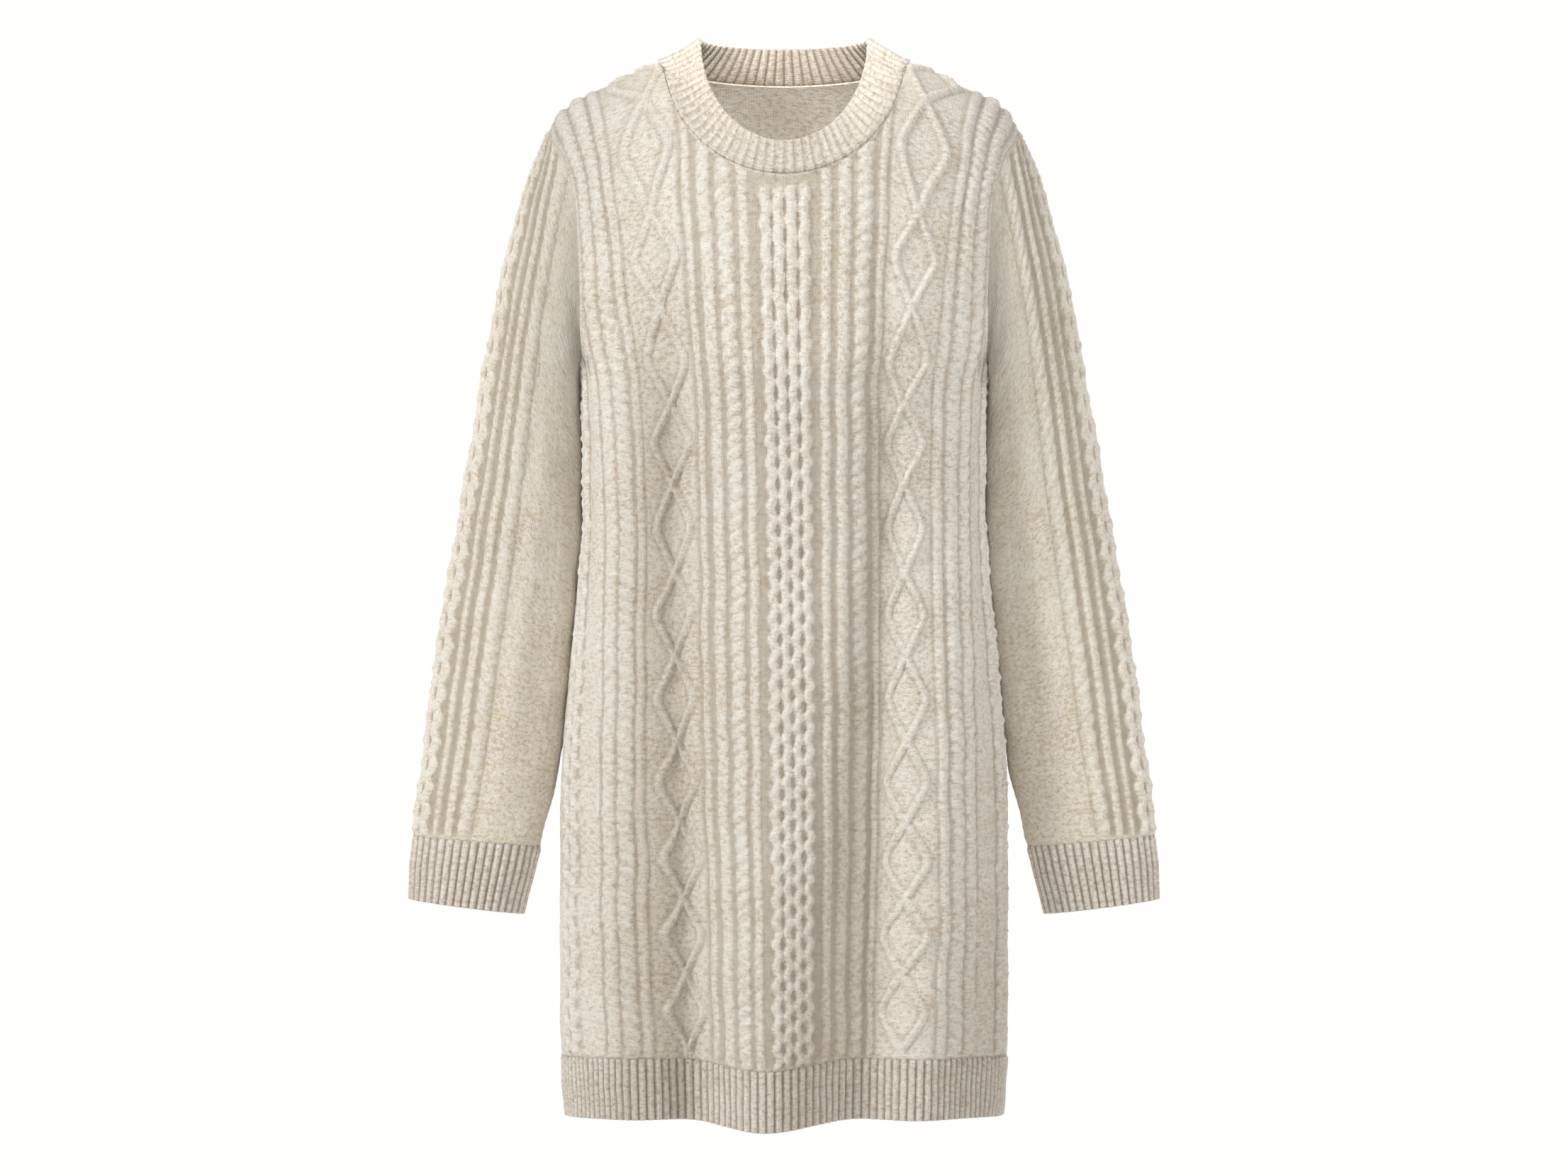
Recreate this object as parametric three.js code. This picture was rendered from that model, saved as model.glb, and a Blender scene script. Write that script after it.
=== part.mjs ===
// A cable-knit sweater dress with long sleeves, filled out as if worn, hollow and open at the neck,
// hem and cuffs. Millimetres. The origin lies midway between the high points of the shoulders, +Z is
// up, the front faces -Y, and the sleeve on +X is the one at a viewer's right.
import * as THREE from "three";

// Cloth
const WALL = 2.6; // plain knitted wall
const SEAM_GAP = 0.3; // between two pieces that are linked together
const YARN_COLOR = 0xdcd2c3;

// Levels. Up to the chest a level is the height z. Above it, it runs along the wall as that leans
// back to the shoulder seam, so a column of knitting has evenly spaced levels all the way.
const SHOULDER_LEVEL = 50;
const CHEST_LEVEL = -250;
const UNDERARM_LEVEL = -252;
const SIDE_CUT_LEVEL = -205; // below it the armhole sweeps round under the arm

// The body's oval section: half its width, and how deep it is in front and behind.
const BODY = [
  { level: 60, halfWidth: 216, front: 104, back: 100 },
  { level: -29, halfWidth: 212, front: 104, back: 100 },
  { level: -74, halfWidth: 207, front: 104, back: 100 },
  { level: -121, halfWidth: 199, front: 104, back: 100 },
  { level: -205, halfWidth: 178.5, front: 104, back: 100 },
  { level: -235, halfWidth: 169.5, front: 104, back: 99 },
  { level: -252, halfWidth: 163.3, front: 104, back: 98 },
  { level: -300, halfWidth: 162.3, front: 101, back: 96 },
  { level: -375, halfWidth: 162.5, front: 97, back: 92 },
  { level: -430, halfWidth: 167, front: 99, back: 94 },
  { level: -483, halfWidth: 172.5, front: 103, back: 98 },
  { level: -573, halfWidth: 180, front: 108, back: 104 },
  { level: -650, halfWidth: 181, front: 110, back: 106 },
  { level: -754, halfWidth: 181, front: 112, back: 107 },
  { level: -805, halfWidth: 180, front: 113, back: 107 },
  { level: -870, halfWidth: 175, front: 112, back: 106 },
];

// The knitting's main columns, as distances from the centre line: the middle of the diamond panel,
// the first of the three outer ropes, and the column that the armhole follows.
const COLUMNS = [
  { level: 60, diamond: 124, outer: 158, seam: 190 },
  { level: -29, diamond: 114, outer: 152, seam: 186 },
  { level: -74, diamond: 111, outer: 146, seam: 176.5 },
  { level: -121, diamond: 107.5, outer: 141, seam: 168 },
  { level: -146, diamond: 106.5, outer: 137, seam: 165.8 },
  { level: -205, diamond: 100, outer: 129.5, seam: 163.5 },
  { level: -235, diamond: 97, outer: 124.5, seam: 160 },
  { level: -262, diamond: 93.3, outer: 121, seam: 154 },
  { level: -343, diamond: 91.6, outer: 117, seam: 150 },
  { level: -430, diamond: 91.3, outer: 117, seam: 150 },
  { level: -548, diamond: 90.5, outer: 119.5, seam: 153 },
  { level: -672, diamond: 86, outer: 120, seam: 154 },
  { level: -792, diamond: 82.6, outer: 115, seam: 151 },
  { level: -870, diamond: 81, outer: 113, seam: 148 },
];
// The same columns measured on the flat panel, which name a place across it.
const FLAT_DIAMOND = 93.3;
const FLAT_OUTER = 121;
const FLAT_SEAM = 154;
const FLAT_SIDE = 214;

// The armhole's distance from the centre line.
const ARMHOLE = [
  { level: 60, x: 190 },
  { level: -29, x: 186 },
  { level: -74, x: 176.5 },
  { level: -121, x: 168 },
  { level: -146, x: 165.8 },
  { level: -205, x: 163.5 },
  { level: -252, x: 163.3 },
];

// The height of the shoulder seam at a distance from the centre line.
const SHOULDER_LINE = [
  { x: 0, z: 16 },
  { x: 60, z: 9 },
  { x: 96, z: 0 },
  { x: 130, z: -14.5 },
  { x: 164, z: -30 },
  { x: 180, z: -42 },
  { x: 190, z: -56 },
  { x: 200, z: -70 },
];

// Neck: an oval seam on the panels, and the smaller oval of the rib's free edge.
const NECK_SEAM = { halfWidth: 96, frontDrop: 97.6, backDrop: 15 };
const NECK_EDGE = { halfWidth: 67, sideHeight: 17.5, frontDrop: 88, backDrop: 2.5, front: 76, back: 46 };
const NECK_FRONT_RIBS = 44;
const NECK_BACK_RIBS = 30;
const NECK_INNER_COLUMNS = 37; // half as many as the ribs, so that both shoulder corners are kept
const NECK_BULGE = 1.6;

// Hem: the line where the panels end and the line where the rib ends, at the sides and how much
// lower they hang at the middle.
const HEM_SEAM = { side: -796, drop: 8.5 };
const HEM_EDGE = { side: -844, drop: 12 };
const HEM_RIBS = 76; // on each panel
const HEM_INNER_COLUMNS = 44;

// The main folds: soft troughs that run down from the waist and deepen to the hem.
const FOLD_START = -190;
const FOLD_WAIST = -375;
const FOLD_HEM = -850;
const FOLDS = [
  { side: -1, xWaist: -84, xHem: -57, width: 24, waist: 5, hem: 20 },
  { side: -1, xWaist: 80, xHem: 64, width: 23, waist: 5, hem: 19 },
  { side: 1, xWaist: -72, xHem: -66, width: 25, waist: 4, hem: 17 },
  { side: 1, xWaist: 86, xHem: 58, width: 24, waist: 4, hem: 18 },
];

// Knitted relief on the panels, as places across the flat panel.
const WAVE_LENGTH = 18;
const LUMP_LENGTH = 27;
const STRANDS = [
  { at: 4.3, lean: 1 },
  { at: 12.9, lean: -1 },
];
const STRAND_HALF = 4.3;
const STRAND_SWAY = 1.4;
const STRAND_HEIGHT = 3.4;
const RIDGES = [
  { at: 28, half: 3.2, height: 2.2, lumps: 0 },
  { at: 41, half: 4.6, height: 2.8, lumps: 0 },
  { at: 53.5, half: 5, height: 2.6, lumps: 0.9 },
  { at: 66, half: 3.2, height: 2.2, lumps: 0 },
  { at: 121, half: 3.2, height: 2.2, lumps: 0 },
  { at: 132, half: 4.6, height: 2.8, lumps: 0 },
  { at: 144, half: 5, height: 2.6, lumps: 0 },
  { at: 178, half: 4.6, height: 2.8, lumps: 0.9 },
  { at: 188, half: 4.6, height: 2.8, lumps: 0.9 },
];
// Levels where the two lines of a diamond panel cross, from the shoulder to the hem.
const CROSSINGS = [-44, -145, -214, -280, -343, -414, -480, -548, -612, -672, -732, -792];
const DIAMOND_HALF = 17.2;
const TOP_OPEN = 0.5; // how far the last diamond opens before the shoulder seam cuts it
const TURN_MARGIN = 4; // a line of the diamonds has no turn this close to its ends
const DIAMOND_LINE_HALF = 3.2;
const DIAMOND_LINE_HEIGHT = 2.6;
const RELIEF_FADE = 7; // relief sinks into the plain wall this close to a seam

const COARSE_STEP = 72; // rows of a plain column below the chest
const SHOULDER_STEP = 34; // and above it
const ARMHOLE_STEP = 20;
const INNER_PLACES = [14, 28, 42, 56, 69.2, 84, 98, 112, 126, 140, 154, 166, 180, 196];
const NORMAL_STEP = 0.5; // how far apart points are compared to find which way the wall faces
const PATH_SAMPLES = 400;

// Sleeve: where its outer and inner lines run, how deep it is and how far its middle lies behind
// the shoulder. Station 0 is the armhole, 8 the cuff's seam and 9 the cuff's edge.
const CUFF_SEAM = 8;
const CUFF_EDGE = 9;
const SLEEVE = [
  { station: 0, outX: 190, outZ: -56, inX: 163.8, inZ: -252, halfDepth: 43, back: 0 },
  { station: 1, outX: 208, outZ: -98, inX: 165, inZ: -262, halfDepth: 47, back: 2 },
  { station: 2, outX: 224, outZ: -152, inX: 166.6, inZ: -285, halfDepth: 47, back: 5 },
  { station: 3, outX: 238.5, outZ: -222, inX: 166.6, inZ: -330, halfDepth: 44, back: 9 },
  { station: 4, outX: 254, outZ: -312, inX: 166.4, inZ: -385, halfDepth: 40, back: 12 },
  { station: 5, outX: 268.4, outZ: -395, inX: 171, inZ: -450, halfDepth: 36, back: 13 },
  { station: 6, outX: 281.3, outZ: -475, inX: 178, inZ: -512, halfDepth: 34, back: 12 },
  { station: 7, outX: 291.5, outZ: -553, inX: 185.5, inZ: -573, halfDepth: 32, back: 9 },
  { station: 8, outX: 300.5, outZ: -626, inX: 197.5, inZ: -635, halfDepth: 29, back: 5 },
  { station: 9, outX: 303.8, outZ: -678, inX: 211.3, inZ: -690, halfDepth: 25, back: 3 },
];
const SLEEVE_CAP = 2.2; // stations over which the armhole's own curve eases into the sleeve
const SLEEVE_LENGTH = 620;
const SLEEVE_ROWS = 13;
const SLEEVE_INNER_COLUMNS = 16;
// Columns of the sleeve in degrees round it from the outer line, the same before and behind.
const SLEEVE_WAVES = [
  { at: 16, half: 8, lean: 1 },
  { at: 32, half: 8, lean: -1 },
];
const SLEEVE_RIDGES = [
  { at: 64, half: 5, height: 2.2 },
  { at: 79, half: 6, height: 2.8 },
];
const SLEEVE_PLAIN = [50, 104, 124, 144, 162];
const SLEEVE_SWAY = 2.2; // degrees
const SLEEVE_WAVE_HEIGHT = 2.8;
const SEARCH_STEP = 2; // a column's end is looked for in these steps, which are then halved
const SEARCH_HALVINGS = 24;
const CORNER_FROM = 40; // the neck's corner lies beyond this column
const LINE_GAP = 0.3; // half the distance between the two lines of a diamond where they cross
const CUFF_RIBS = 38;
const CUFF_INNER_COLUMNS = 20;
const CUFF_STATION_LENGTH = 60; // from station 8 to 9
const SLEEVE_EASE = { start: 6, end: 8 }; // how fast a sleeve's relief rises, for each station
const NECK_START = 0.66; // the neck rib's distance from the panels
const SLEEVE_START = 0.9; // and the sleeves'
const RIB_HEIGHT = 1.3;

// Reads a table at a place between its rows, on a smooth curve through them.
function valueAt(table, column, at, key = "level") {
  const rising = table[1][key] > table[0][key];
  let row = 1;
  while (row < table.length - 1 && (rising ? at > table[row][key] : at < table[row][key])) row += 1;
  const slope = (a, b) => (table[b][column] - table[a][column]) / (table[b][key] - table[a][key]);
  const last = table.length - 1;
  const startSlope = slope(Math.max(row - 2, 0), row);
  const endSlope = slope(row - 1, Math.min(row + 1, last));
  const span = table[row][key] - table[row - 1][key];
  const t = THREE.MathUtils.clamp((at - table[row - 1][key]) / span, 0, 1);
  const rise = t * t * (3 - 2 * t);
  const plain = table[row - 1][column] * (1 - rise) + table[row][column] * rise;
  return plain + span * (startSlope * t * (1 - t) * (1 - t) - endSlope * t * t * (1 - t));
}

// How deep the folds press the wall in at a place on one side of the body.
function foldDepth(side, x, level) {
  const toHem = THREE.MathUtils.clamp((FOLD_WAIST - level) / (FOLD_WAIST - FOLD_HEM), 0, 1);
  const toWaist = THREE.MathUtils.smoothstep(FOLD_START - level, 0, FOLD_START - FOLD_WAIST);
  return FOLDS.filter((fold) => fold.side === side).reduce((depth, fold) => {
    const middle = THREE.MathUtils.lerp(fold.xWaist, fold.xHem, toHem);
    const deep = THREE.MathUtils.lerp(fold.waist, fold.hem, toHem) * toWaist;
    return depth + deep * Math.exp(-(((x - middle) / fold.width) ** 2));
  }, 0);
}

// A point of the body's plain outer wall. The angle is 0 at the middle and a quarter turn at the
// side seam, and side is -1 in front and 1 behind.
function bodyPoint(side, angle, level) {
  const climb = Math.max(0, (level - CHEST_LEVEL) / (SHOULDER_LEVEL - CHEST_LEVEL)) * (Math.PI / 2);
  const x = valueAt(BODY, "halfWidth", level) * Math.sin(angle);
  const depth = valueAt(BODY, side < 0 ? "front" : "back", level) - foldDepth(side, x, level);
  const ridge = valueAt(SHOULDER_LINE, "z", Math.abs(x), "x");
  const z = level < CHEST_LEVEL ? level : CHEST_LEVEL + (ridge - CHEST_LEVEL) * Math.sin(climb);
  return new THREE.Vector3(x, side * depth * Math.cos(angle) * Math.cos(climb), z);
}

// The angle of a place across the flat panel, at a level.
function columnAngle(across, level) {
  const halfWidth = valueAt(BODY, "halfWidth", level);
  const angleOf = (name) => Math.asin(Math.min(1, valueAt(COLUMNS, name, level) / halfWidth));
  const stops = [
    [0, 0],
    [FLAT_DIAMOND, angleOf("diamond")],
    [FLAT_OUTER, angleOf("outer")],
    [FLAT_SEAM, angleOf("seam")],
    [FLAT_SIDE, Math.PI / 2],
  ];
  const flat = Math.abs(across);
  const next = Math.max(1, stops.findIndex(([place]) => place >= flat));
  const [[from, fromAngle], [to, toAngle]] = [stops[next - 1], stops[next]];
  return Math.sign(across) * THREE.MathUtils.mapLinear(flat, from, to, fromAngle, toAngle);
}

function panelPoint(side, across, level) {
  return bodyPoint(side, columnAngle(across, level), level);
}

// A point of a panel's wall, moved out along the wall's normal by a height.
function raisedPoint(side, across, level, height) {
  const step = NORMAL_STEP;
  const base = panelPoint(side, across, level);
  const inward = across > 0 ? -step : step;
  const alongX = panelPoint(side, across + inward, level).sub(base).multiplyScalar(inward);
  const alongZ = base.clone().sub(panelPoint(side, across, level - step));
  const normal = alongX.cross(alongZ).normalize().multiplyScalar(-side);
  return base.addScaledVector(normal, height);
}

// Where a column of the panel ends: at the neck's seam, the armhole or the shoulder seam.
function topLevel(side, across) {
  const drop = side < 0 ? NECK_SEAM.frontDrop : NECK_SEAM.backDrop;
  const ended = (level) => {
    const point = panelPoint(side, across, level);
    const x = Math.abs(point.x);
    const nearNeck = Math.sqrt(Math.max(0, 1 - (x / NECK_SEAM.halfWidth) ** 2));
    const inNeck = x < NECK_SEAM.halfWidth && point.z > -drop * nearNeck;
    const underArm = Math.abs(across) > FLAT_SEAM && x > valueAt(ARMHOLE, "x", level);
    return inNeck || underArm;
  };
  const shoulder = SHOULDER_LEVEL - SEAM_GAP;
  let low = UNDERARM_LEVEL - 1;
  let high = low;
  while (high < shoulder && !ended(high)) high += SEARCH_STEP;
  if (high >= shoulder) return shoulder;
  low = high - SEARCH_STEP;
  for (let i = 0; i < SEARCH_HALVINGS; i += 1) {
    const middle = (low + high) / 2;
    if (ended(middle)) high = middle;
    else low = middle;
  }
  return low;
}

function bottomLevel(across) {
  const angle = columnAngle(across, HEM_SEAM.side);
  return HEM_SEAM.side - HEM_SEAM.drop * Math.cos(angle) ** 2 + SEAM_GAP / 2;
}

// Levels of a plain column from the hem's seam up.
function plainLevels(side, across, shoulderStep = SHOULDER_STEP) {
  const bottom = bottomLevel(across);
  const top = topLevel(side, across);
  const knee = Math.min(top, CHEST_LEVEL);
  const spaced = (from, to, step) => {
    const count = Math.max(1, Math.round((to - from) / step));
    return Array.from({ length: count }, (_, i) => from + ((to - from) * i) / count);
  };
  const upper = top > CHEST_LEVEL ? spaced(knee, top, shoulderStep) : [];
  return [...spaced(bottom, knee, COARSE_STEP), ...upper, top];
}

// Levels that follow a repeat: every half of it, between the column's two ends.
function repeatLevels(side, across, length) {
  const bottom = bottomLevel(across);
  const top = topLevel(side, across);
  const half = length / 2;
  const first = Math.ceil((bottom + half / 2) / half);
  const last = Math.floor((top - half / 2) / half);
  const inside = Array.from({ length: last - first + 1 }, (_, i) => (first + i) * half);
  return [bottom, ...inside, top];
}

// A column of points: across(level) places it and height(level) raises it.
function makeColumn(side, levels, across, height) {
  const [bottom, top] = [levels[0], levels.at(-1)];
  const points = levels.map((level) => {
    const ease = Math.min(1, (top - level) / RELIEF_FADE, (level - bottom) / RELIEF_FADE);
    return raisedPoint(side, across(level), level, height(level) * Math.max(0, ease));
  });
  return { flat: across(levels[0]), levels, points };
}

const plainColumn = (side, flat) =>
  makeColumn(side, plainLevels(side, flat), () => flat, () => 0);

const turnOf = (level, length) => (Math.round(level / (length / 2)) % 2 === 0 ? 1 : -1);

function strandColumn(side, strand, mirror) {
  const flat = mirror * strand.at;
  const sway = (level) => flat + mirror * strand.lean * STRAND_SWAY * turnOf(level, WAVE_LENGTH);
  return makeColumn(side, repeatLevels(side, flat, WAVE_LENGTH), sway, () => STRAND_HEIGHT);
}

// The gap between two strands, with one row for each wave.
const gapColumn = (side, flat) =>
  makeColumn(side, repeatLevels(side, flat, 2 * WAVE_LENGTH), () => flat, () => 0);

function ridgeColumn(side, ridge, flat) {
  if (ridge.lumps === 0) return makeColumn(side, plainLevels(side, flat), () => flat, () => ridge.height);
  const height = (level) => ridge.height + ridge.lumps * turnOf(level, LUMP_LENGTH);
  return makeColumn(side, repeatLevels(side, flat, LUMP_LENGTH), () => flat, height);
}

// The columns of one diamond panel: two lines that open from each crossing to the widest place,
// each with a foot on both sides.
function diamondColumns(side, mirror) {
  const middle = mirror * FLAT_DIAMOND;
  const waists = CROSSINGS.slice(1).map((level, i) => (level + CROSSINGS[i]) / 2);
  const firstTop = [CROSSINGS[0] * 2 - waists[0]];
  const makeLine = (offset, spread, height) => {
    const bottom = bottomLevel(middle + offset);
    const top = topLevel(side, middle + offset);
    const turns = [...CROSSINGS, ...waists, ...firstTop].filter(
      (level) => level > bottom + TURN_MARGIN && level < top - TURN_MARGIN,
    );
    const levels = [bottom, ...turns.sort((a, b) => a - b), top];
    const open = (level) => {
      const away = Math.min(...CROSSINGS.map((crossing) => Math.abs(crossing - level)));
      const reach = waists.reduce((best, waist, i) => {
        const inside = level <= CROSSINGS[i] && level >= CROSSINGS[i + 1];
        return inside ? CROSSINGS[i] - waist : best;
      }, CROSSINGS[0] - waists[0]);
      return level > CROSSINGS[0] ? Math.min(TOP_OPEN, away / reach) : Math.min(1, away / reach);
    };
    const across = (level) => middle + offset + spread * open(level);
    return makeColumn(side, levels, across, () => height);
  };
  const foot = DIAMOND_LINE_HALF;
  const spread = DIAMOND_HALF - foot;
  return [
    makeLine(-2 * foot, -spread, 0),
    makeLine(-foot, -spread, DIAMOND_LINE_HEIGHT),
    makeLine(-LINE_GAP, -spread, 0),
    makeLine(LINE_GAP, spread, 0),
    makeLine(foot, spread, DIAMOND_LINE_HEIGHT),
    makeLine(2 * foot, spread, 0),
  ];
}

// The place across the panel of the first column that passes the neck and meets the shoulder seam.
function findNeckCorner() {
  let low = CORNER_FROM;
  let high = FLAT_DIAMOND;
  for (let i = 0; i < SEARCH_HALVINGS; i += 1) {
    const middle = (low + high) / 2;
    if (topLevel(-1, middle) < SHOULDER_LEVEL - SEAM_GAP) low = middle;
    else high = middle;
  }
  return high;
}
const NECK_CORNER = findNeckCorner();

// Outer columns of a panel, from one side seam to the other.
function outerColumns(side) {
  const half = (mirror) => {
    const columns = [plainColumn(side, mirror * NECK_CORNER)];
    STRANDS.forEach((strand) => {
      columns.push(strandColumn(side, strand, mirror));
      columns.push(gapColumn(side, mirror * (strand.at + STRAND_HALF)));
    });
    RIDGES.forEach((ridge) => {
      const flat = mirror * ridge.at;
      columns.push(plainColumn(side, flat - mirror * ridge.half));
      columns.push(ridgeColumn(side, ridge, flat));
      columns.push(plainColumn(side, flat + mirror * ridge.half));
    });
    columns.push(plainColumn(side, mirror * (FLAT_SIDE - SEAM_GAP)));
    columns.push(armholeColumn(side, mirror));
    return [...columns, ...diamondColumns(side, mirror)];
  };
  return [...half(-1), gapColumn(side, 0), ...half(1)].sort((a, b) => a.flat - b.flat);
}

// The column that the armhole follows, with a row where the cut sweeps away under the arm.
function armholeColumn(side, mirror) {
  const flat = mirror * FLAT_SEAM;
  const below = plainLevels(side, flat).filter((level) => level < CHEST_LEVEL);
  const top = SHOULDER_LEVEL - SEAM_GAP;
  const count = Math.round((top - SIDE_CUT_LEVEL) / ARMHOLE_STEP);
  const above = Array.from({ length: count + 1 }, (_, i) =>
    SIDE_CUT_LEVEL + ((top - SIDE_CUT_LEVEL) * i) / count,
  );
  const levels = [...below, ...above];
  return { ...makeColumn(side, levels, () => flat, () => 0), cut: below.length };
}

// Inner columns: the same wall without relief, moved in by the wall's thickness.
function innerColumns(side) {
  const edge = FLAT_SIDE - SEAM_GAP;
  const half = [...INNER_PLACES, NECK_CORNER, edge].sort((a, b) => a - b);
  const flats = [...half.map((flat) => -flat).reverse(), 0, ...half];
  return flats.map((flat) => {
    const seam = Math.abs(flat) === FLAT_SEAM;
    const outer = seam ? armholeColumn(side, Math.sign(flat)) : plainColumn(side, flat);
    const points = outer.levels.map((level) => raisedPoint(side, flat, level, -WALL));
    return { ...outer, points };
  });
}

// Triangles between two rows of points, each taken along its own length.
function zip(triangles, rowA, rowB, flip = false) {
  const along = (row) => {
    const sums = [0];
    for (let i = 1; i < row.length; i += 1) sums.push(sums[i - 1] + row[i].distanceTo(row[i - 1]));
    return sums.map((sum) => sum / (sums.at(-1) || 1));
  };
  const [placesA, placesB] = [along(rowA), along(rowB)];
  let a = 0;
  let b = 0;
  while (a < rowA.length - 1 || b < rowB.length - 1) {
    const takeA = b === rowB.length - 1 || (a < rowA.length - 1 && placesA[a + 1] <= placesB[b + 1]);
    const corners = takeA ? [rowA[a], rowB[b], rowA[a + 1]] : [rowA[a], rowB[b], rowB[b + 1]];
    triangles.push(flip ? corners.reverse() : corners);
    if (takeA) a += 1;
    else b += 1;
  }
}

// Zips two columns level by level, so that a long column and a short one keep in step.
function zipColumns(triangles, left, right, flip) {
  let a = 0;
  let b = 0;
  while (a < left.points.length - 1 || b < right.points.length - 1) {
    const atEnd = b === right.points.length - 1;
    const takeA = atEnd || (a < left.points.length - 1 && left.levels[a + 1] <= right.levels[b + 1]);
    const next = takeA ? left.points[a + 1] : right.points[b + 1];
    const corners = [left.points[a], right.points[b], next];
    triangles.push(flip ? corners.reverse() : corners);
    if (takeA) a += 1;
    else b += 1;
  }
}

function toMesh(name, triangles) {
  const positions = triangles.flatMap((corners) => corners.flatMap((point) => point.toArray()));
  const geometry = new THREE.BufferGeometry();
  geometry.setAttribute("position", new THREE.Float32BufferAttribute(positions, 3));
  geometry.computeVertexNormals();
  const yarn = new THREE.MeshStandardMaterial({ color: YARN_COLOR, roughness: 0.95, metalness: 0 });
  const mesh = new THREE.Mesh(geometry, yarn);
  mesh.name = name;
  return mesh;
}

// The paths along a panel's top, each from left to right: under the left arm, up the left armhole,
// over the shoulders and the neck, down the right armhole and under the right arm.
function topPaths(columns) {
  const seams = columns.flatMap((column, i) => (column.cut === undefined ? [] : [i]));
  const [left, right] = seams;
  const cutPoint = (i) => columns[i].points[columns[i].cut];
  const tops = (from, to) => columns.slice(from, to).map((column) => column.points.at(-1));
  const corner = (way) => columns.findIndex((column) => column.flat === way * NECK_CORNER);
  return {
    underLeft: [...tops(0, left), cutPoint(left)],
    armLeft: columns[left].points.slice(columns[left].cut),
    shoulderLeft: tops(left, corner(-1) + 1),
    neck: tops(corner(-1), corner(1) + 1),
    shoulderRight: tops(corner(1), right + 1),
    armRight: columns[right].points.slice(columns[right].cut).reverse(),
    underRight: [cutPoint(right), ...tops(right + 1)],
  };
}

// Fills the strips between neighbouring columns. Beyond an armhole the neighbour is shorter.
function fillColumns(triangles, columns, flip) {
  const lower = (column) => ({
    levels: column.levels.slice(0, column.cut + 1),
    points: column.points.slice(0, column.cut + 1),
  });
  columns.slice(1).forEach((right, i) => {
    const left = columns[i];
    const leftPart = left.cut !== undefined && left.flat > 0 ? lower(left) : left;
    const rightPart = right.cut !== undefined && right.flat < 0 ? lower(right) : right;
    zipColumns(triangles, leftPart, rightPart, flip);
  });
}

function makePanel(name, side) {
  const front = side < 0;
  const triangles = [];
  const outer = outerColumns(side);
  const inner = innerColumns(side);
  fillColumns(triangles, outer, !front);
  fillColumns(triangles, inner, front);
  const bottoms = (columns) => columns.map((column) => column.points[0]);
  zip(triangles, bottoms(outer), bottoms(inner), !front);
  zip(triangles, outer[0].points, inner[0].points, front);
  zip(triangles, outer.at(-1).points, inner.at(-1).points, !front);
  const [outerTop, innerTop] = [topPaths(outer), topPaths(inner)];
  Object.keys(outerTop).forEach((part) => zip(triangles, outerTop[part], innerTop[part], front));
  return { mesh: toMesh(name, triangles), outerTop, innerTop };
}

// A place on a path of points, as a share of its length.
function pointOn(path, share) {
  const lengths = path.slice(1).map((point, i) => point.distanceTo(path[i]));
  let rest = share * lengths.reduce((sum, length) => sum + length, 0);
  const last = lengths.length - 1;
  let i = 0;
  while (i < last && rest > lengths[i]) {
    rest -= lengths[i];
    i += 1;
  }
  return path[i].clone().lerp(path[i + 1], Math.min(1, rest / lengths[i]));
}

// A hem rib on one panel: ridges between two lines of the body's wall.
function makeHemRib(name, side) {
  const front = side < 0;
  const edge = FLAT_SIDE - SEAM_GAP;
  const seamAt = (across) => bottomLevel(across) - SEAM_GAP;
  const edgeAt = (across) =>
    HEM_EDGE.side - HEM_EDGE.drop * Math.cos(columnAngle(across, HEM_EDGE.side)) ** 2;
  const seamPoint = (across) => panelPoint(side, across, seamAt(across));
  const line = (count, levelAt, heightAt) =>
    evenSteps(count, -edge, edge, seamPoint).map((across, i) =>
      raisedPoint(side, across, levelAt(across), heightAt(i, count)),
    );
  const ribHeight = (i, count) => (i % 2 === 1 && i < count ? RIB_HEIGHT : 0);
  const count = HEM_RIBS * 2;
  const top = line(count, seamAt, ribHeight);
  const bottom = line(count, edgeAt, ribHeight);
  const topIn = line(HEM_INNER_COLUMNS, seamAt, () => -WALL);
  const bottomIn = line(HEM_INNER_COLUMNS, edgeAt, () => -WALL);
  const triangles = [];
  zip(triangles, bottom, top, front);
  zip(triangles, bottomIn, topIn, !front);
  zip(triangles, top, topIn, front);
  zip(triangles, bottom, bottomIn, !front);
  triangles.push(...closeEnd(bottom[0], top[0], topIn[0], bottomIn[0], !front));
  triangles.push(...closeEnd(bottom.at(-1), top.at(-1), topIn.at(-1), bottomIn.at(-1), front));
  return toMesh(name, triangles);
}

function closeEnd(a, b, c, d, flip) {
  const faces = [
    [a, b, c],
    [a, c, d],
  ];
  return flip ? faces.map((face) => face.reverse()) : faces;
}

// Values from one end to the other whose points lie evenly spaced along a path.
function evenSteps(count, from, to, pointAt) {
  const valueOf = (i) => from + ((to - from) * i) / PATH_SAMPLES;
  const points = Array.from({ length: PATH_SAMPLES + 1 }, (_, i) => pointAt(valueOf(i)));
  const sums = [0];
  points.slice(1).forEach((point, i) => sums.push(sums[i] + point.distanceTo(points[i])));
  const total = sums.at(-1);
  return Array.from({ length: count + 1 }, (_, i) => {
    const target = Math.min(total, (total * i) / count);
    const next = Math.max(1, sums.findIndex((sum) => sum >= target));
    return valueOf(next - 1 + (target - sums[next - 1]) / (sums[next] - sums[next - 1]));
  });
}

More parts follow.
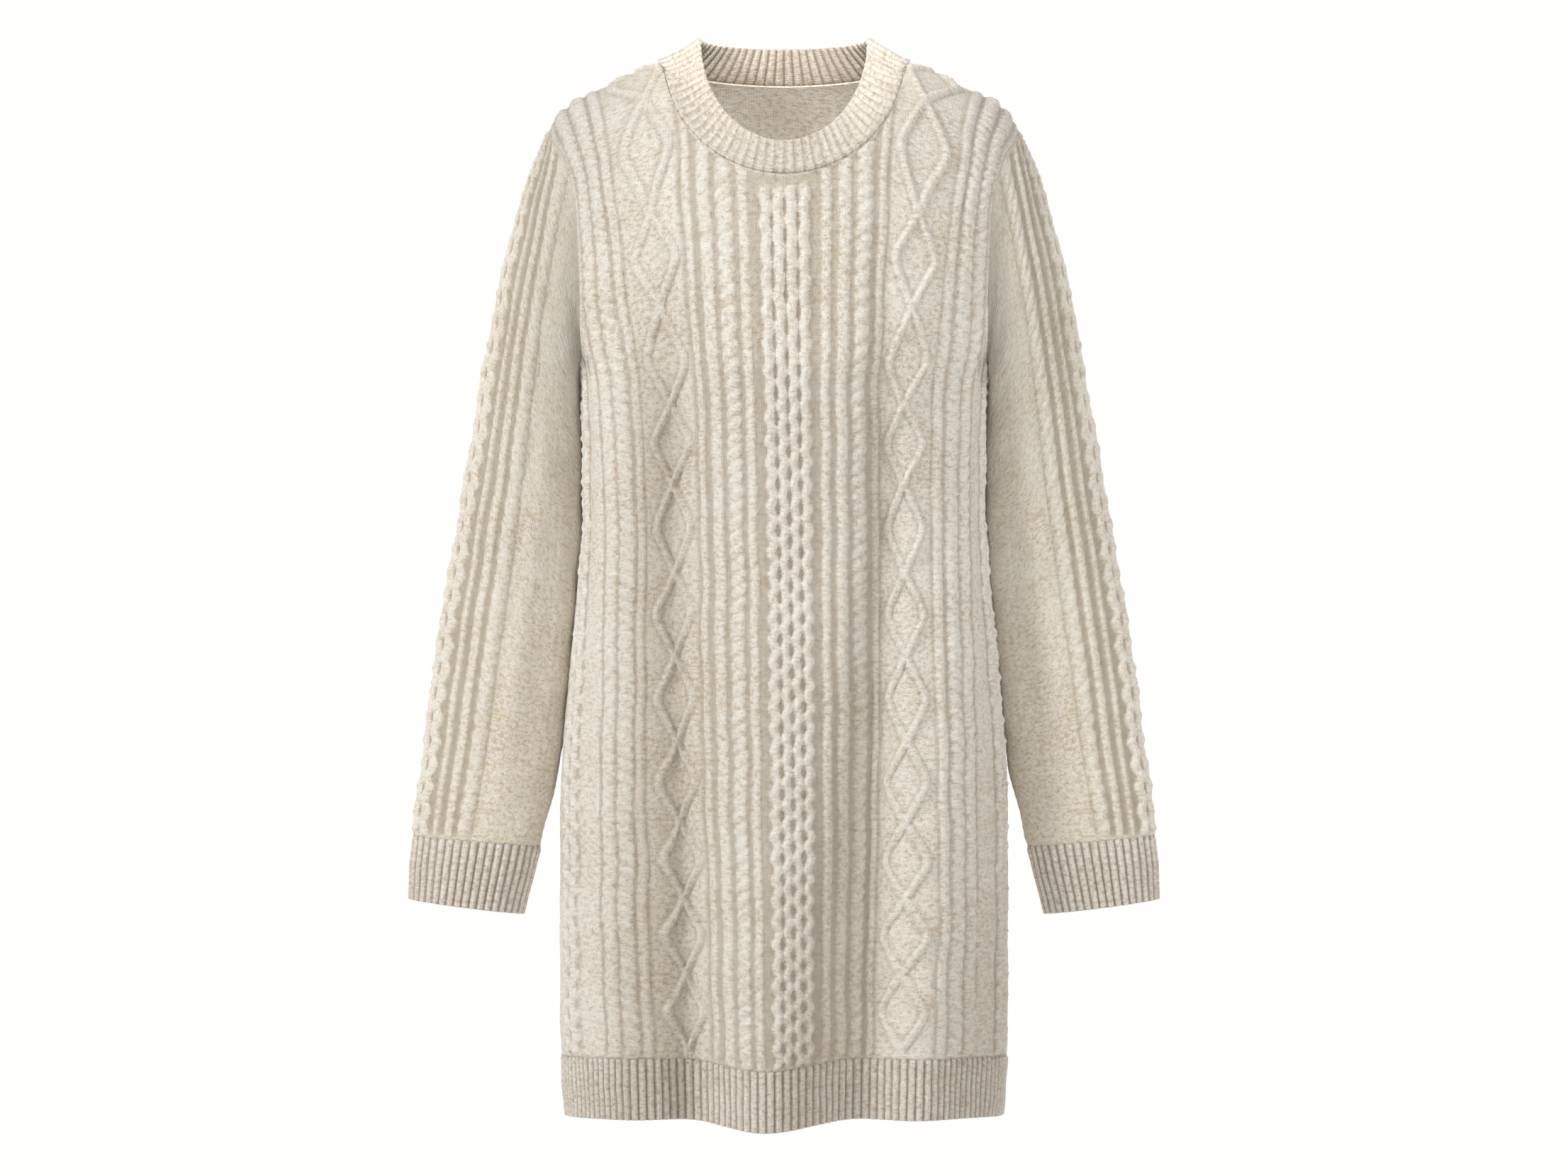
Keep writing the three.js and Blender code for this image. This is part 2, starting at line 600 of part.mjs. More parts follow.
// The neck rib: a band from the panels' neck seam up to a smaller free edge.
function makeNeckRib(name, panels) {
  const [outerSeam, innerSeam] = ["outerTop", "innerTop"].map((wall) => {
    const [front, back] = panels.map((panel) => panel[wall].neck);
    return [front, [...back].reverse()];
  });
  const freeHalf = (side, inset) =>
    Array.from({ length: 41 }, (_, i) => {
      const angle = Math.PI * (1 - side * (i / 40));
      const depth = (side < 0 ? NECK_EDGE.front : NECK_EDGE.back) - inset;
      const drop = side < 0 ? NECK_EDGE.frontDrop : NECK_EDGE.backDrop;
      const away = Math.sin(angle);
      const x = (NECK_EDGE.halfWidth - inset) * Math.cos(angle);
      return new THREE.Vector3(x, depth * away, NECK_EDGE.sideHeight - drop * Math.abs(away));
    });
  const ribs = NECK_FRONT_RIBS + NECK_BACK_RIBS;
  const ring = (count, [front, back]) =>
    Array.from({ length: count }, (_, i) => {
      const rib = (ribs * i) / count;
      if (rib < NECK_FRONT_RIBS) return pointOn(front, rib / NECK_FRONT_RIBS);
      return pointOn(back, (rib - NECK_FRONT_RIBS) / NECK_BACK_RIBS);
    });
  const band = (count, halves, inset, ridge) => {
    const seam = ring(count, halves);
    const free = ring(count, [freeHalf(-1, inset), freeHalf(1, inset).reverse()]);
    const rows = [0, 0.5, 1].map((share) =>
      seam.map((point, i) => {
        const reach = free[i].clone().sub(point);
        const along = tangentOf(seam, i);
        const normal = reach.clone().cross(along).normalize();
        const start = share === 0 ? NECK_START : 0;
        const bulge = share === 0.5 ? NECK_BULGE : 0;
        const raised = share === 0 || i % 2 === 0 ? 0 : ridge;
        return point
          .clone()
          .addScaledVector(reach, share)
          .addScaledVector(reach.clone().normalize(), start)
          .addScaledVector(normal, bulge + raised);
      }),
    );
    return rows.map((row) => [...row, row[0]]);
  };
  const outer = band(ribs * 2, outerSeam, 0, RIB_HEIGHT);
  const inner = band(NECK_INNER_COLUMNS, innerSeam, WALL, 0);
  const triangles = [];
  [0, 1].forEach((row) => {
    zip(triangles, outer[row], outer[row + 1], true);
    zip(triangles, inner[row], inner[row + 1]);
  });
  zip(triangles, outer[0], inner[0]);
  zip(triangles, outer[2], inner[2], true);
  return toMesh(name, triangles);
}

function tangentOf(points, i) {
  const count = points.length;
  return points[(i + 1) % count].clone().sub(points[(i + count - 1) % count]);
}

// A point of the sleeve's plain outer wall. The angle is 0 on the outer line, a quarter turn in
// front and half a turn on the inner line. Station 0 is eased to the armhole's own curve.
function sleevePoint(mirror, angle, station) {
  const read = (column, at = station) => valueAt(SLEEVE, column, at, "station");
  const oval = (at) => {
    const [outX, inX] = [read("outX", at), read("inX", at)];
    const [outZ, inZ] = [read("outZ", at), read("inZ", at)];
    const cos = Math.cos(angle);
    return new THREE.Vector3(
      (outX + inX) / 2 + ((outX - inX) / 2) * cos,
      read("back", at) - read("halfDepth", at) * Math.sin(angle),
      (outZ + inZ) / 2 + ((outZ - inZ) / 2) * cos,
    );
  };
  const point = oval(station);
  if (station < SLEEVE_CAP) {
    const ease = (1 - station / SLEEVE_CAP) ** 2;
    point.addScaledVector(armholePoint(angle).sub(oval(0)), ease);
  }
  point.x *= mirror;
  return point;
}

function armholePoint(angle) {
  const middle = (SHOULDER_LEVEL + UNDERARM_LEVEL) / 2;
  const level = middle + ((SHOULDER_LEVEL - UNDERARM_LEVEL) / 2) * Math.cos(angle);
  const x = Math.min(valueAt(ARMHOLE, "x", level), valueAt(BODY, "halfWidth", level));
  const across = Math.asin(x / valueAt(BODY, "halfWidth", level));
  return bodyPoint(Math.sin(angle) < 0 ? 1 : -1, across, level);
}

function raisedSleevePoint(mirror, angle, station, height) {
  const [turn, step] = [0.02, 0.02];
  const base = sleevePoint(mirror, angle, station);
  const round = sleevePoint(mirror, angle + turn, station).sub(sleevePoint(mirror, angle - turn, station));
  const along = base.clone().sub(sleevePoint(mirror, angle, Math.max(0, station - step)));
  if (station < step) along.copy(sleevePoint(mirror, angle, step)).sub(base);
  const normal = round.cross(along).normalize().multiplyScalar(mirror);
  return base.addScaledVector(normal, height);
}

// A sleeve: columns of points from the armhole to the cuff's seam. Its first row is the panels'
// own armhole edge, moved out by the seam's gap.
function makeSleeve(name, mirror, panels) {
  const sideName = mirror < 0 ? "Left" : "Right";
  const armhole = (paths) => {
    const down = (top) => {
      const [arm, under] = [top["arm" + sideName], top["under" + sideName]];
      const path = mirror < 0 ? [...under.slice(0, -1), ...arm] : [...arm, ...under.slice(1)];
      return mirror < 0 ? path.reverse() : path;
    };
    return paths.map(down);
  };
  const outerEdge = armhole(panels.map((panel) => panel.outerTop));
  const innerEdge = armhole(panels.map((panel) => panel.innerTop));
  const edgePoint = ([front, back], angle) => {
    const turn = angle / Math.PI;
    const point = turn <= 1 ? pointOn(front, turn) : pointOn(back, 2 - turn);
    point.x += mirror * SLEEVE_START;
    return point;
  };
  const seam = CUFF_SEAM - SEAM_GAP / CUFF_STATION_LENGTH;
  const plainStations = Array.from({ length: SLEEVE_ROWS }, (_, i) => (seam * (i + 1)) / SLEEVE_ROWS);
  const waveCount = Math.round(SLEEVE_LENGTH / (WAVE_LENGTH / 2));
  const waveStations = Array.from({ length: waveCount }, (_, i) => (seam * (i + 1)) / waveCount);
  const column = (degrees, stations, edge, height, sway = () => 0) => {
    const angle = THREE.MathUtils.degToRad(degrees);
    const points = stations.map((station, i) => {
      const turned = angle + THREE.MathUtils.degToRad(sway(i));
      const ease = Math.min(1, (CUFF_SEAM - station) * SLEEVE_EASE.end, station * SLEEVE_EASE.start);
      return raisedSleevePoint(mirror, turned, station, height < 0 ? height : height * ease);
    });
    return { degrees, levels: [0, ...stations], points: [edgePoint(edge, angle), ...points] };
  };
  const plain = (degrees) => column(degrees, plainStations, outerEdge, 0);
  const half = (way) => {
    const turn = (degrees) => (way > 0 ? degrees : 360 - degrees);
    const waves = SLEEVE_WAVES.flatMap(({ at, half: reach, lean }) => [
      column(turn(at), waveStations, outerEdge, SLEEVE_WAVE_HEIGHT, (i) =>
        way * lean * SLEEVE_SWAY * (i % 2 === 0 ? 1 : -1),
      ),
      plain(turn(at + reach)),
    ]);
    const ridges = SLEEVE_RIDGES.flatMap(({ at, half: reach, height }) => [
      plain(turn(at - reach)),
      column(turn(at), plainStations, outerEdge, height),
      plain(turn(at + reach)),
    ]);
    return [plain(turn(8)), ...waves, ...ridges, ...SLEEVE_PLAIN.map((degrees) => plain(turn(degrees)))];
  };
  const outer = [plain(0), ...half(1), plain(180), ...half(-1)].sort((a, b) => a.degrees - b.degrees);
  const inner = Array.from({ length: SLEEVE_INNER_COLUMNS }, (_, i) =>
    column((360 * i) / SLEEVE_INNER_COLUMNS, plainStations, innerEdge, -WALL),
  );
  const triangles = [];
  const flip = mirror > 0;
  const wrap = (columns) => [...columns, columns[0]];
  const fill = (columns, turned) =>
    wrap(columns).slice(1).forEach((next, i) => zipColumns(triangles, columns[i], next, turned));
  fill(outer, !flip);
  fill(inner, flip);
  const row = (columns, at) => wrap(columns).map((one) => one.points.at(at));
  zip(triangles, row(outer, 0), row(inner, 0), !flip);
  zip(triangles, row(outer, -1), row(inner, -1), flip);
  return toMesh(name, triangles);
}

// A cuff: a short ribbed tube from the sleeve's seam to its free edge.
function makeCuff(name, mirror) {
  const seamPoint = (angle) => sleevePoint(mirror, angle, CUFF_SEAM);
  const ring = (count, station, heightAt) => {
    const angles = evenSteps(count, 0, 2 * Math.PI, seamPoint).slice(0, -1);
    const points = angles.map((angle, i) => raisedSleevePoint(mirror, angle, station, heightAt(i)));
    return [...points, points[0]];
  };
  const seam = CUFF_SEAM + SEAM_GAP / CUFF_STATION_LENGTH;
  const stations = [seam, (seam + CUFF_EDGE) / 2, CUFF_EDGE];
  const ridge = (i) => (i % 2 === 0 ? 0 : RIB_HEIGHT);
  const outer = stations.map((station) => ring(CUFF_RIBS * 2, station, ridge));
  const inner = stations.map((station) => ring(CUFF_INNER_COLUMNS, station, () => -WALL));
  const triangles = [];
  const flip = mirror > 0;
  [0, 1].forEach((row) => {
    zip(triangles, outer[row], outer[row + 1], flip);
    zip(triangles, inner[row], inner[row + 1], !flip);
  });
  zip(triangles, outer[0], inner[0], !flip);
  zip(triangles, outer[2], inner[2], flip);
  return toMesh(name, triangles);
}

const front = makePanel("front_panel", -1);
const back = makePanel("back_panel", 1);
const dress = new THREE.Group();
dress.add(front.mesh, back.mesh);
dress.add(makeNeckRib("neck_rib", [front, back]));
dress.add(makeHemRib("front_hem_rib", -1), makeHemRib("back_hem_rib", 1));
dress.add(makeSleeve("right_sleeve", -1, [front, back]), makeCuff("right_cuff", -1));
dress.add(makeSleeve("left_sleeve", 1, [front, back]), makeCuff("left_cuff", 1));

export default dress;
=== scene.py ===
# %% [markdown]
# # A cable-knit sweater dress
#
# The dress is nine knitted pieces: a front and a back panel, two sleeves, two cuffs, a neck rib and
# two hem ribs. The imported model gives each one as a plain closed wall, and this lesson makes the
# same pieces again with their cables, ribs, yarn and colour. Each new piece is a surface worked out
# with numpy on a grid, because knitting is itself a grid of rows and columns. Nothing is
# simulated: the folds of the photograph are few and known, so they are placed by formula.

# %% Load the frame
import math

import bpy
import numpy as np
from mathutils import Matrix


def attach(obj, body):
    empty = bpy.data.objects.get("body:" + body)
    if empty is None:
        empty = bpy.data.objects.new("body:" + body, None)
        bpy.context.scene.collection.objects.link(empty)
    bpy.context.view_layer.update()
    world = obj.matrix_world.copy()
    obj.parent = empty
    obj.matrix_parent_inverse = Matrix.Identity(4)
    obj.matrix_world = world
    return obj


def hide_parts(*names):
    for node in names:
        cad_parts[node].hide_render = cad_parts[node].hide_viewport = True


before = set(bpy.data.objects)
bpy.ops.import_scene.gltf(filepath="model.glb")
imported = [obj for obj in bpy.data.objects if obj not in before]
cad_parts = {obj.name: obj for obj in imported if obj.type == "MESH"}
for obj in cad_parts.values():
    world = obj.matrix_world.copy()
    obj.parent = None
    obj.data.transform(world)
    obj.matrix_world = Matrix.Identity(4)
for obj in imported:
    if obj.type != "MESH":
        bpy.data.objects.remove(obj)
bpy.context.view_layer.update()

MM = 0.001
print("nodes:", sorted(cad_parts))

# %% [markdown]
# ## Camera
#
# The photograph looks straight at the front from about four metres, level with the waist. A long
# lens at that distance keeps the sleeves and the body in the proportions of the picture. The lens
# comes from the width that the picture covers at the plane of the shoulders.

# %% Camera
CAMERA_DISTANCE = 4.0
CAMERA_HEIGHT = -0.4262
PICTURE_WIDTH = 1.2697  # metres across the picture at the shoulders

camera_data = bpy.data.cameras.new("camera")
camera_data.sensor_width = 36.0
camera_data.lens = camera_data.sensor_width * CAMERA_DISTANCE / PICTURE_WIDTH
camera = bpy.data.objects.new("camera", camera_data)
camera.location = (0.0, -CAMERA_DISTANCE, CAMERA_HEIGHT)
camera.rotation_euler = (math.pi / 2, 0.0, 0.0)
bpy.context.scene.collection.objects.link(camera)
bpy.context.scene.camera = camera
print("lens:", round(camera_data.lens, 1), "mm")

# %% [markdown]
# ## The body's measurements
#
# The body is an oval tube whose half width and depth are read from a table of levels, in
# millimetres. Up to the chest a level is a height. Above it the level runs along the wall as that
# leans back to the shoulder seam, so the knitting's rows stay evenly spaced. A second table says
# where the main columns of knitting run. A cubic through the rows keeps every outline smooth.

# %% Tables
SHOULDER_LEVEL = 50.0
CHEST_LEVEL = -250.0
UNDERARM_LEVEL = -252.0
SIDE_CUT_LEVEL = -205.0
WALL = 2.6


def by_level(rows):
    """Sorts the rows of a table by their first number."""
    table = np.array(rows, float)
    return table[np.argsort(table[:, 0])]


# level, half width, depth in front, depth behind
BODY = by_level([
    (60, 216, 104, 100), (-29, 212, 104, 100), (-74, 207, 104, 100), (-121, 199, 104, 100),
    (-205, 178.5, 104, 100), (-235, 169.5, 104, 99), (-252, 163.3, 104, 98), (-300, 162.3, 101, 96),
    (-375, 162.5, 97, 92), (-430, 167, 99, 94), (-483, 172.5, 103, 98), (-573, 180, 108, 104),
    (-650, 181, 110, 106), (-754, 181, 112, 107), (-805, 180, 113, 107), (-870, 175, 112, 106),
])
# level, middle of the diamonds, first outer rope, column along the armhole
COLUMNS = by_level([
    (60, 124, 158, 190), (-29, 114, 152, 186), (-74, 111, 146, 176.5), (-121, 107.5, 141, 168),
    (-146, 106.5, 137, 165.8), (-205, 100, 129.5, 163.5), (-235, 97, 124.5, 160),
    (-262, 93.3, 121, 154), (-343, 91.6, 117, 150), (-430, 91.3, 117, 150),
    (-548, 90.5, 119.5, 153), (-672, 86, 120, 154), (-792, 82.6, 115, 151), (-870, 81, 113, 148),
])
ARMHOLE = by_level([
    (60, 190), (-29, 186), (-74, 176.5), (-121, 168), (-146, 165.8), (-205, 163.5), (-252, 163.3),
])
# distance from the centre line, height of the shoulder seam
SHOULDER_LINE = by_level([
    (0, 16), (60, 9), (96, 0), (130, -14.5), (164, -30), (180, -42), (190, -56), (200, -70),
])
FLAT_DIAMOND, FLAT_OUTER, FLAT_SEAM, FLAT_SIDE = 93.3, 121.0, 154.0, 214.0


def read(table, column, at):
    """Reads a table between its rows. Between two rows the value follows the cubic that leaves and
    meets each row with the slope of the line through that row's two neighbours."""
    keys, values = table[:, 0], table[:, column]
    places = np.arange(len(keys))
    before, after = np.maximum(places - 1, 0), np.minimum(places + 1, len(keys) - 1)
    slopes = (values[after] - values[before]) / (keys[after] - keys[before])
    row = np.clip(np.searchsorted(keys, at) - 1, 0, len(keys) - 2)
    span = keys[row + 1] - keys[row]
    t = np.clip((at - keys[row]) / span, 0, 1)
    rise = t * t * (3 - 2 * t)
    bend = slopes[row] * t * (1 - t) ** 2 - slopes[row + 1] * t * t * (1 - t)
    return values[row] * (1 - rise) + values[row + 1] * rise + span * bend


print("half width at the waist:", read(BODY, 1, np.array(-375.0)))

# %% [markdown]
# ## Folds
#
# Filled out and hanging, the skirt falls into a few long folds from the waist to the hem. Each is a
# soft bell curve across the body whose middle wanders sideways and whose depth grows downwards.
# Two troughs lie in front where the photograph shows them, with a rounded crest on either side of
# each, and behind lie some like them. A crest is a trough of negative depth. A second table of bell
# curves paints shade on the flanks of the folds and darkens the skirt towards the hem.

# %% The plain wall
FOLD_START, FOLD_WAIST, FOLD_HEM = -150.0, -375.0, -850.0
# side, then place, width and depth at the waist, and the same three at the hem
FOLDS = [
    (-1, -87, 18, 13, -71, 29, 28), (-1, 76, 17, 12, 56, 29, 26),
    (-1, -146, 34, -11, -132, 34, -17), (-1, -22, 28, -5, -17, 30, -10),
    (-1, 148, 32, -10, 114, 28, -18),
    (1, -72, 24, 6, -66, 28, 19), (1, 86, 24, 6, 58, 28, 19),
    (1, -128, 24, -4, -124, 30, -9), (1, 4, 30, -2, -4, 34, -6), (1, 136, 24, -4, 122, 30, -9),
]


def smoothstep(value, low, high):
    """0 below low, 1 above high, and t * t * (3 - 2 t) between them."""
    t = np.clip((value - low) / (high - low), 0, 1)
    return t * t * (3 - 2 * t)


def bell_sum(rows, side, x, level):
    """The sum of amount * exp(-((x - middle) / width)^2) over the rows of one side. Each number goes
    from its value at the waist to its value at the hem in proportion to the level."""
    to_hem = np.clip((FOLD_WAIST - level) / (FOLD_WAIST - FOLD_HEM), 0, 1)
    total = np.zeros(np.broadcast(x, level).shape)
    for where, *numbers in rows:
        if where == side:
            middle, width, amount = (a + (b - a) * to_hem for a, b in zip(numbers[:3], numbers[3:]))
            total = total + amount * np.exp(-(((x - middle) / width) ** 2))
    return total


def fold_depth(side, x, level):
    """How far the folds sink into one side: the sum of its bell curves, eased in above the waist."""
    return bell_sum(FOLDS, side, x, level) * smoothstep(FOLD_START - level, 0, FOLD_START - FOLD_WAIST)


# painted shade: bells darken the flanks of the folds and the lower right edge, and a broad one on each
# side darkens the skirt towards the hem
# side, then place, width and strength at the waist, and the same three at the hem
PAINTED_SHADE_BELLS = [
    (-1, -100, 26, 1.0, -102, 32, 1.1), (-1, 72, 15, 0.7, 24, 32, 1.1), (-1, 190, 30, 0.1, 156, 34, 0.9),
    (-1, 0, 400, 0.0, 0, 400, 0.3), (1, 0, 400, 0.0, 0, 400, 0.3),
    (1, -92, 26, 0.6, -96, 30, 0.8), (1, 82, 22, 0.6, 40, 30, 0.9),
]
SHADE_START, SHADE_FULL = 130, 330


def painted_fold_shade(side, x, level):
    """Bell curves also give painted shade, from 0 to about 1: on the flanks of the folds, and more
    towards the hem, so that the skirt is painted a little greyer than the chest."""
    return bell_sum(PAINTED_SHADE_BELLS, side, x, level) * smoothstep(-level, SHADE_START, SHADE_FULL)


def body_points(side, angle, level):
    """x = half width * sin(angle), y = side * depth * cos(angle) * cos(climb), and z is the level up
    to the chest, then rises with sin(climb) to the shoulder seam. Side is -1 in front, 1 behind."""
    climb = np.maximum(0, (level - CHEST_LEVEL) / (SHOULDER_LEVEL - CHEST_LEVEL)) * (math.pi / 2)
    x = read(BODY, 1, level) * np.sin(angle)
    depth = read(BODY, 2 if side < 0 else 3, level) - fold_depth(side, x, level)
    ridge = read(SHOULDER_LINE, 1, np.abs(x))
    z = np.where(level < CHEST_LEVEL, level, CHEST_LEVEL + (ridge - CHEST_LEVEL) * np.sin(climb))
    return np.stack([x, side * depth * np.cos(angle) * np.cos(climb), z], -1)


def column_angle(across, level):
    """Turns a place across the flat panel into an angle round the body: straight lines between the
    angles of the diamond, outer, armhole and side columns, each angle the arcsine of the column's
    distance over the half width."""
    half_width = read(BODY, 1, level)
    angles = [np.zeros_like(half_width)]
    for column in (1, 2, 3):
        angles.append(np.arcsin(np.minimum(1, read(COLUMNS, column, level) / half_width)))
    angles.append(np.full_like(half_width, math.pi / 2))
    stops = (0.0, FLAT_DIAMOND, FLAT_OUTER, FLAT_SEAM, FLAT_SIDE)
    total = 0.0
    for i in range(4):
        share = np.clip((np.abs(across) - stops[i]) / (stops[i + 1] - stops[i]), 0, 1)
        total = total + share * (angles[i + 1] - angles[i])
    return np.sign(across) * total


def panel_points(side, across, level):
    """A point of the plain wall at a place across the panel and a level."""
    return body_points(side, column_angle(across, level), level)


def unit(vectors):
    """Each vector divided by its length."""
    return vectors / np.maximum(np.linalg.norm(vectors, axis=-1, keepdims=True), 1e-9)


def panel_normals(side, across, level, step=0.5):
    """The outward normal: the cross product of the steps across and up the wall."""
    right = panel_points(side, across + step, level) - panel_points(side, across - step, level)
    up = panel_points(side, across, level + step) - panel_points(side, across, level - step)
    return unit(np.cross(right, up)) * -side


print("side of the waist:", panel_points(-1, np.array(213.9), np.array(-375.0)).round(1).tolist())

# %% [markdown]
# ## Where each column ends
#
# A panel isn't a rectangle: its columns end at the hem's seam below, and above at the neck's oval,
# the shoulder seam or the armhole. Each column's last level is found by stepping up until it
# crosses one of those lines, then halving the step, for all the columns at once.

# %% Ends of the columns
NECK_HALF_WIDTH = 96.0
NECK_DROP = {-1: 97.6, 1: 15.0}
HEM_SEAM = -798.5
HEM_DIP, HEM_DIP_PLACE, HEM_DIP_WIDTH = 8.0, -16, 44
HEM_SIDE_DIP, HEM_HALF_WIDTH = 5.0, 180
LEVEL_STEP, HALVINGS = 2.0, 16


def has_ended(side, across, level):
    """True where a column has come into the neck's oval or passed the armhole's line."""
    points = panel_points(side, across, level)
    x = np.abs(points[..., 0])
    oval = np.sqrt(np.clip(1 - (x / NECK_HALF_WIDTH) ** 2, 0, None))
    in_neck = (x < NECK_HALF_WIDTH) & (points[..., 2] > -NECK_DROP[side] * oval)
    past_armhole = (np.abs(across) > FLAT_SEAM) & (x > read(ARMHOLE, 1, level))
    return in_neck | past_armhole


def top_levels(side, across):
    """The highest level of each column, by steps of 2 mm and then 16 halvings."""
    steps = np.arange(UNDERARM_LEVEL - 1, SHOULDER_LEVEL, LEVEL_STEP)
    places, levels = np.broadcast_arrays(across[:, None], steps[None, :])
    ended = has_ended(side, places, levels)
    first = np.where(ended.any(1), ended.argmax(1), len(steps) - 1)
    high = steps[first]
    low = high - LEVEL_STEP
    for _ in range(HALVINGS):
        middle = (low + high) / 2
        over = has_ended(side, across, middle)
        high, low = np.where(over, middle, high), np.where(over, low, middle)
    return np.where(ended.any(1), low, SHOULDER_LEVEL)


def hem_line(across, level):
    """A level line of the hem: 8 mm lower on the middle fold, as a bell curve, and 5 mm lower at the
    side seams, by the sixth power of the sine."""
    sine = np.sin(column_angle(across, np.full_like(across, level)))
    x = HEM_HALF_WIDTH * sine
    dip = HEM_DIP * np.exp(-(((x - HEM_DIP_PLACE) / HEM_DIP_WIDTH) ** 2))
    return level - dip - HEM_SIDE_DIP * sine**6


def bottom_levels(across):
    """The panels' last row, at the hem seam."""
    return hem_line(across, HEM_SEAM)


print("top of the front's middle column:", top_levels(-1, np.array([0.5]))[0].round(1))

# %% [markdown]
# ## Cables, ridges and diamonds
#
# Relief in knitting comes from stitches that cross in front of their neighbours. The middle cable
# has four strands that sway against each other and open small windows between them. Beside it run
# ropes, lumpy ropes and narrow ridges, then a panel of diamonds drawn by two thin crossing lines.
# Bump alone would leave the outline flat, so each of these moves the surface itself. One function
# gives the height at any place of the flat panel, and a second value tells the material whether
# that place is a crest, which it paints with a highlight, or a gap, which it paints with shade.

# %% Relief of the panels
# place and lean of each strand, in the middle cable and in the one by the side seam
STRANDS = ((4.3, 1), (12.9, -1))
STRAND_HALF, STRAND_HEIGHT = 3.95, 3.4
SIDE_STRANDS = ((178.3, 1), (187.7, -1))
SIDE_SWAY, SIDE_HALF, SIDE_HEIGHT = 1.8, 4.4, 3.4
CABLE_START = (6, 15)
# levels where the lines of the diamonds cross, and how far the first and last ones reach beyond
CROSSINGS = np.array([-44, -152, -214, -280, -343, -414, -480, -548, -612, -672, -732, -792.0])
REACH_ABOVE, REACH_BELOW = 101, 60
DIAMOND_HALF = 17.2
DIAMOND_LINE_HALF, DIAMOND_LINE_HEIGHT = 3.4, 3.5
GAP_DEPTH = 0.5
# place, half width, height, length of a lump, slant of a lump, how deep the lumps are cut
LEFT_RIDGES = [
    (28, 4.0, 2.0, 9, 0.25, 0.45), (40.7, 6.2, 3.1, 11, 0.35, 0.75), (54.5, 5.2, 2.3, 10, -0.4, 0.5),
    (66.5, 3.4, 1.6, 8, 0.0, 0.3), (121, 3.8, 1.9, 8, 0.0, 0.3), (132, 5.8, 3.1, 10.5, -0.35, 0.75),
    (144, 5.4, 2.5, 12, 0.4, 0.6),
]
RIGHT_RIDGES = [
    (28, 4.2, 2.1, 9, -0.25, 0.45), (40.7, 5.2, 2.3, 10, 0.4, 0.5), (54.5, 6.4, 3.1, 11, -0.35, 0.75),
    (67.5, 3.4, 1.6, 8, 0.0, 0.3), (121, 3.8, 1.9, 8, 0.0, 0.3), (132, 5.8, 3.1, 10.5, 0.35, 0.75),
    (144, 5.4, 2.5, 12, -0.4, 0.6),
]
# places where plain knitting begins, is full, thins out and ends, and where the last cable ends
PLAIN_STRIPS = ((70, 75, 114, 118), (150, 153, 169, 172))
CABLES_END = (194, 198)


def bead(distance, half, soft=1.15):
    """A rounded ridge: (1 - (distance / half)^2) ^ soft, and 0 beyond its half width."""
    return np.clip(1 - (distance / half) ** 2, 0, None) ** soft


def wave_turns(level):
    """Turns of the wavy cables, counted down from level -100. A wave is 18.6 mm long at the chest
    and 16.4 mm near the hem, where the knitting is pulled in by the rib."""
    down = -100.0 - level
    return 0.0538 * down + 0.5 * 1.03e-5 * down**2


def wobble(across, level, seed, size):
    """A smooth unevenness between about -1 and 1: five sine waves with set directions, size mm long."""
    random = np.random.default_rng(seed)
    total = 0.0
    for _ in range(5):
        turn, phase = random.uniform(0, math.pi), random.uniform(0, 2 * math.pi)
        length = size * random.uniform(0.7, 1.6)
        along = (across * math.cos(turn) + level * math.sin(turn)) / length
        total = total + np.sin(2 * math.pi * along + phase)
    return total / 2.6


def strand_relief(across, turns, strands, sway, half):
    """The higher of the strands' rounded ridges, each at place + lean * sway * cos(2 pi turns). A
    strand is a little higher where it leans against its neighbour."""
    wave = np.cos(2 * math.pi * turns)
    height = 0.0
    for place, lean in strands:
        height = np.maximum(height, bead(across - place - lean * sway * wave, half))
    return height * (1 + 0.1 * np.cos(4 * math.pi * turns))


def hand_knit(height, across, level, seeds):
    """Makes the relief uneven: by 13% in spots of 6 mm, and by 0.22 mm in spots of 9 mm."""
    stretch = 1 + 0.13 * wobble(across, level, seeds[0], 6)
    return height * stretch + 0.22 * wobble(across, level, seeds[1], 9)


def rope_relief(across, level, ridge):
    """A rounded ridge cut by slanting notches: 1 - cut * ((1 - cos) / 2)^2, so that the lumps are
    broad and the notches narrow."""
    place, half, height, length, slant, cut = ridge
    distance = across - place
    turn = 2 * math.pi * (level / length + slant * distance / half)
    notch = ((1 - np.cos(turn)) / 2) ** 2
    return height * bead(distance, half * (1 - 0.15 * cut * notch), 1.1) * (1 - cut * notch)


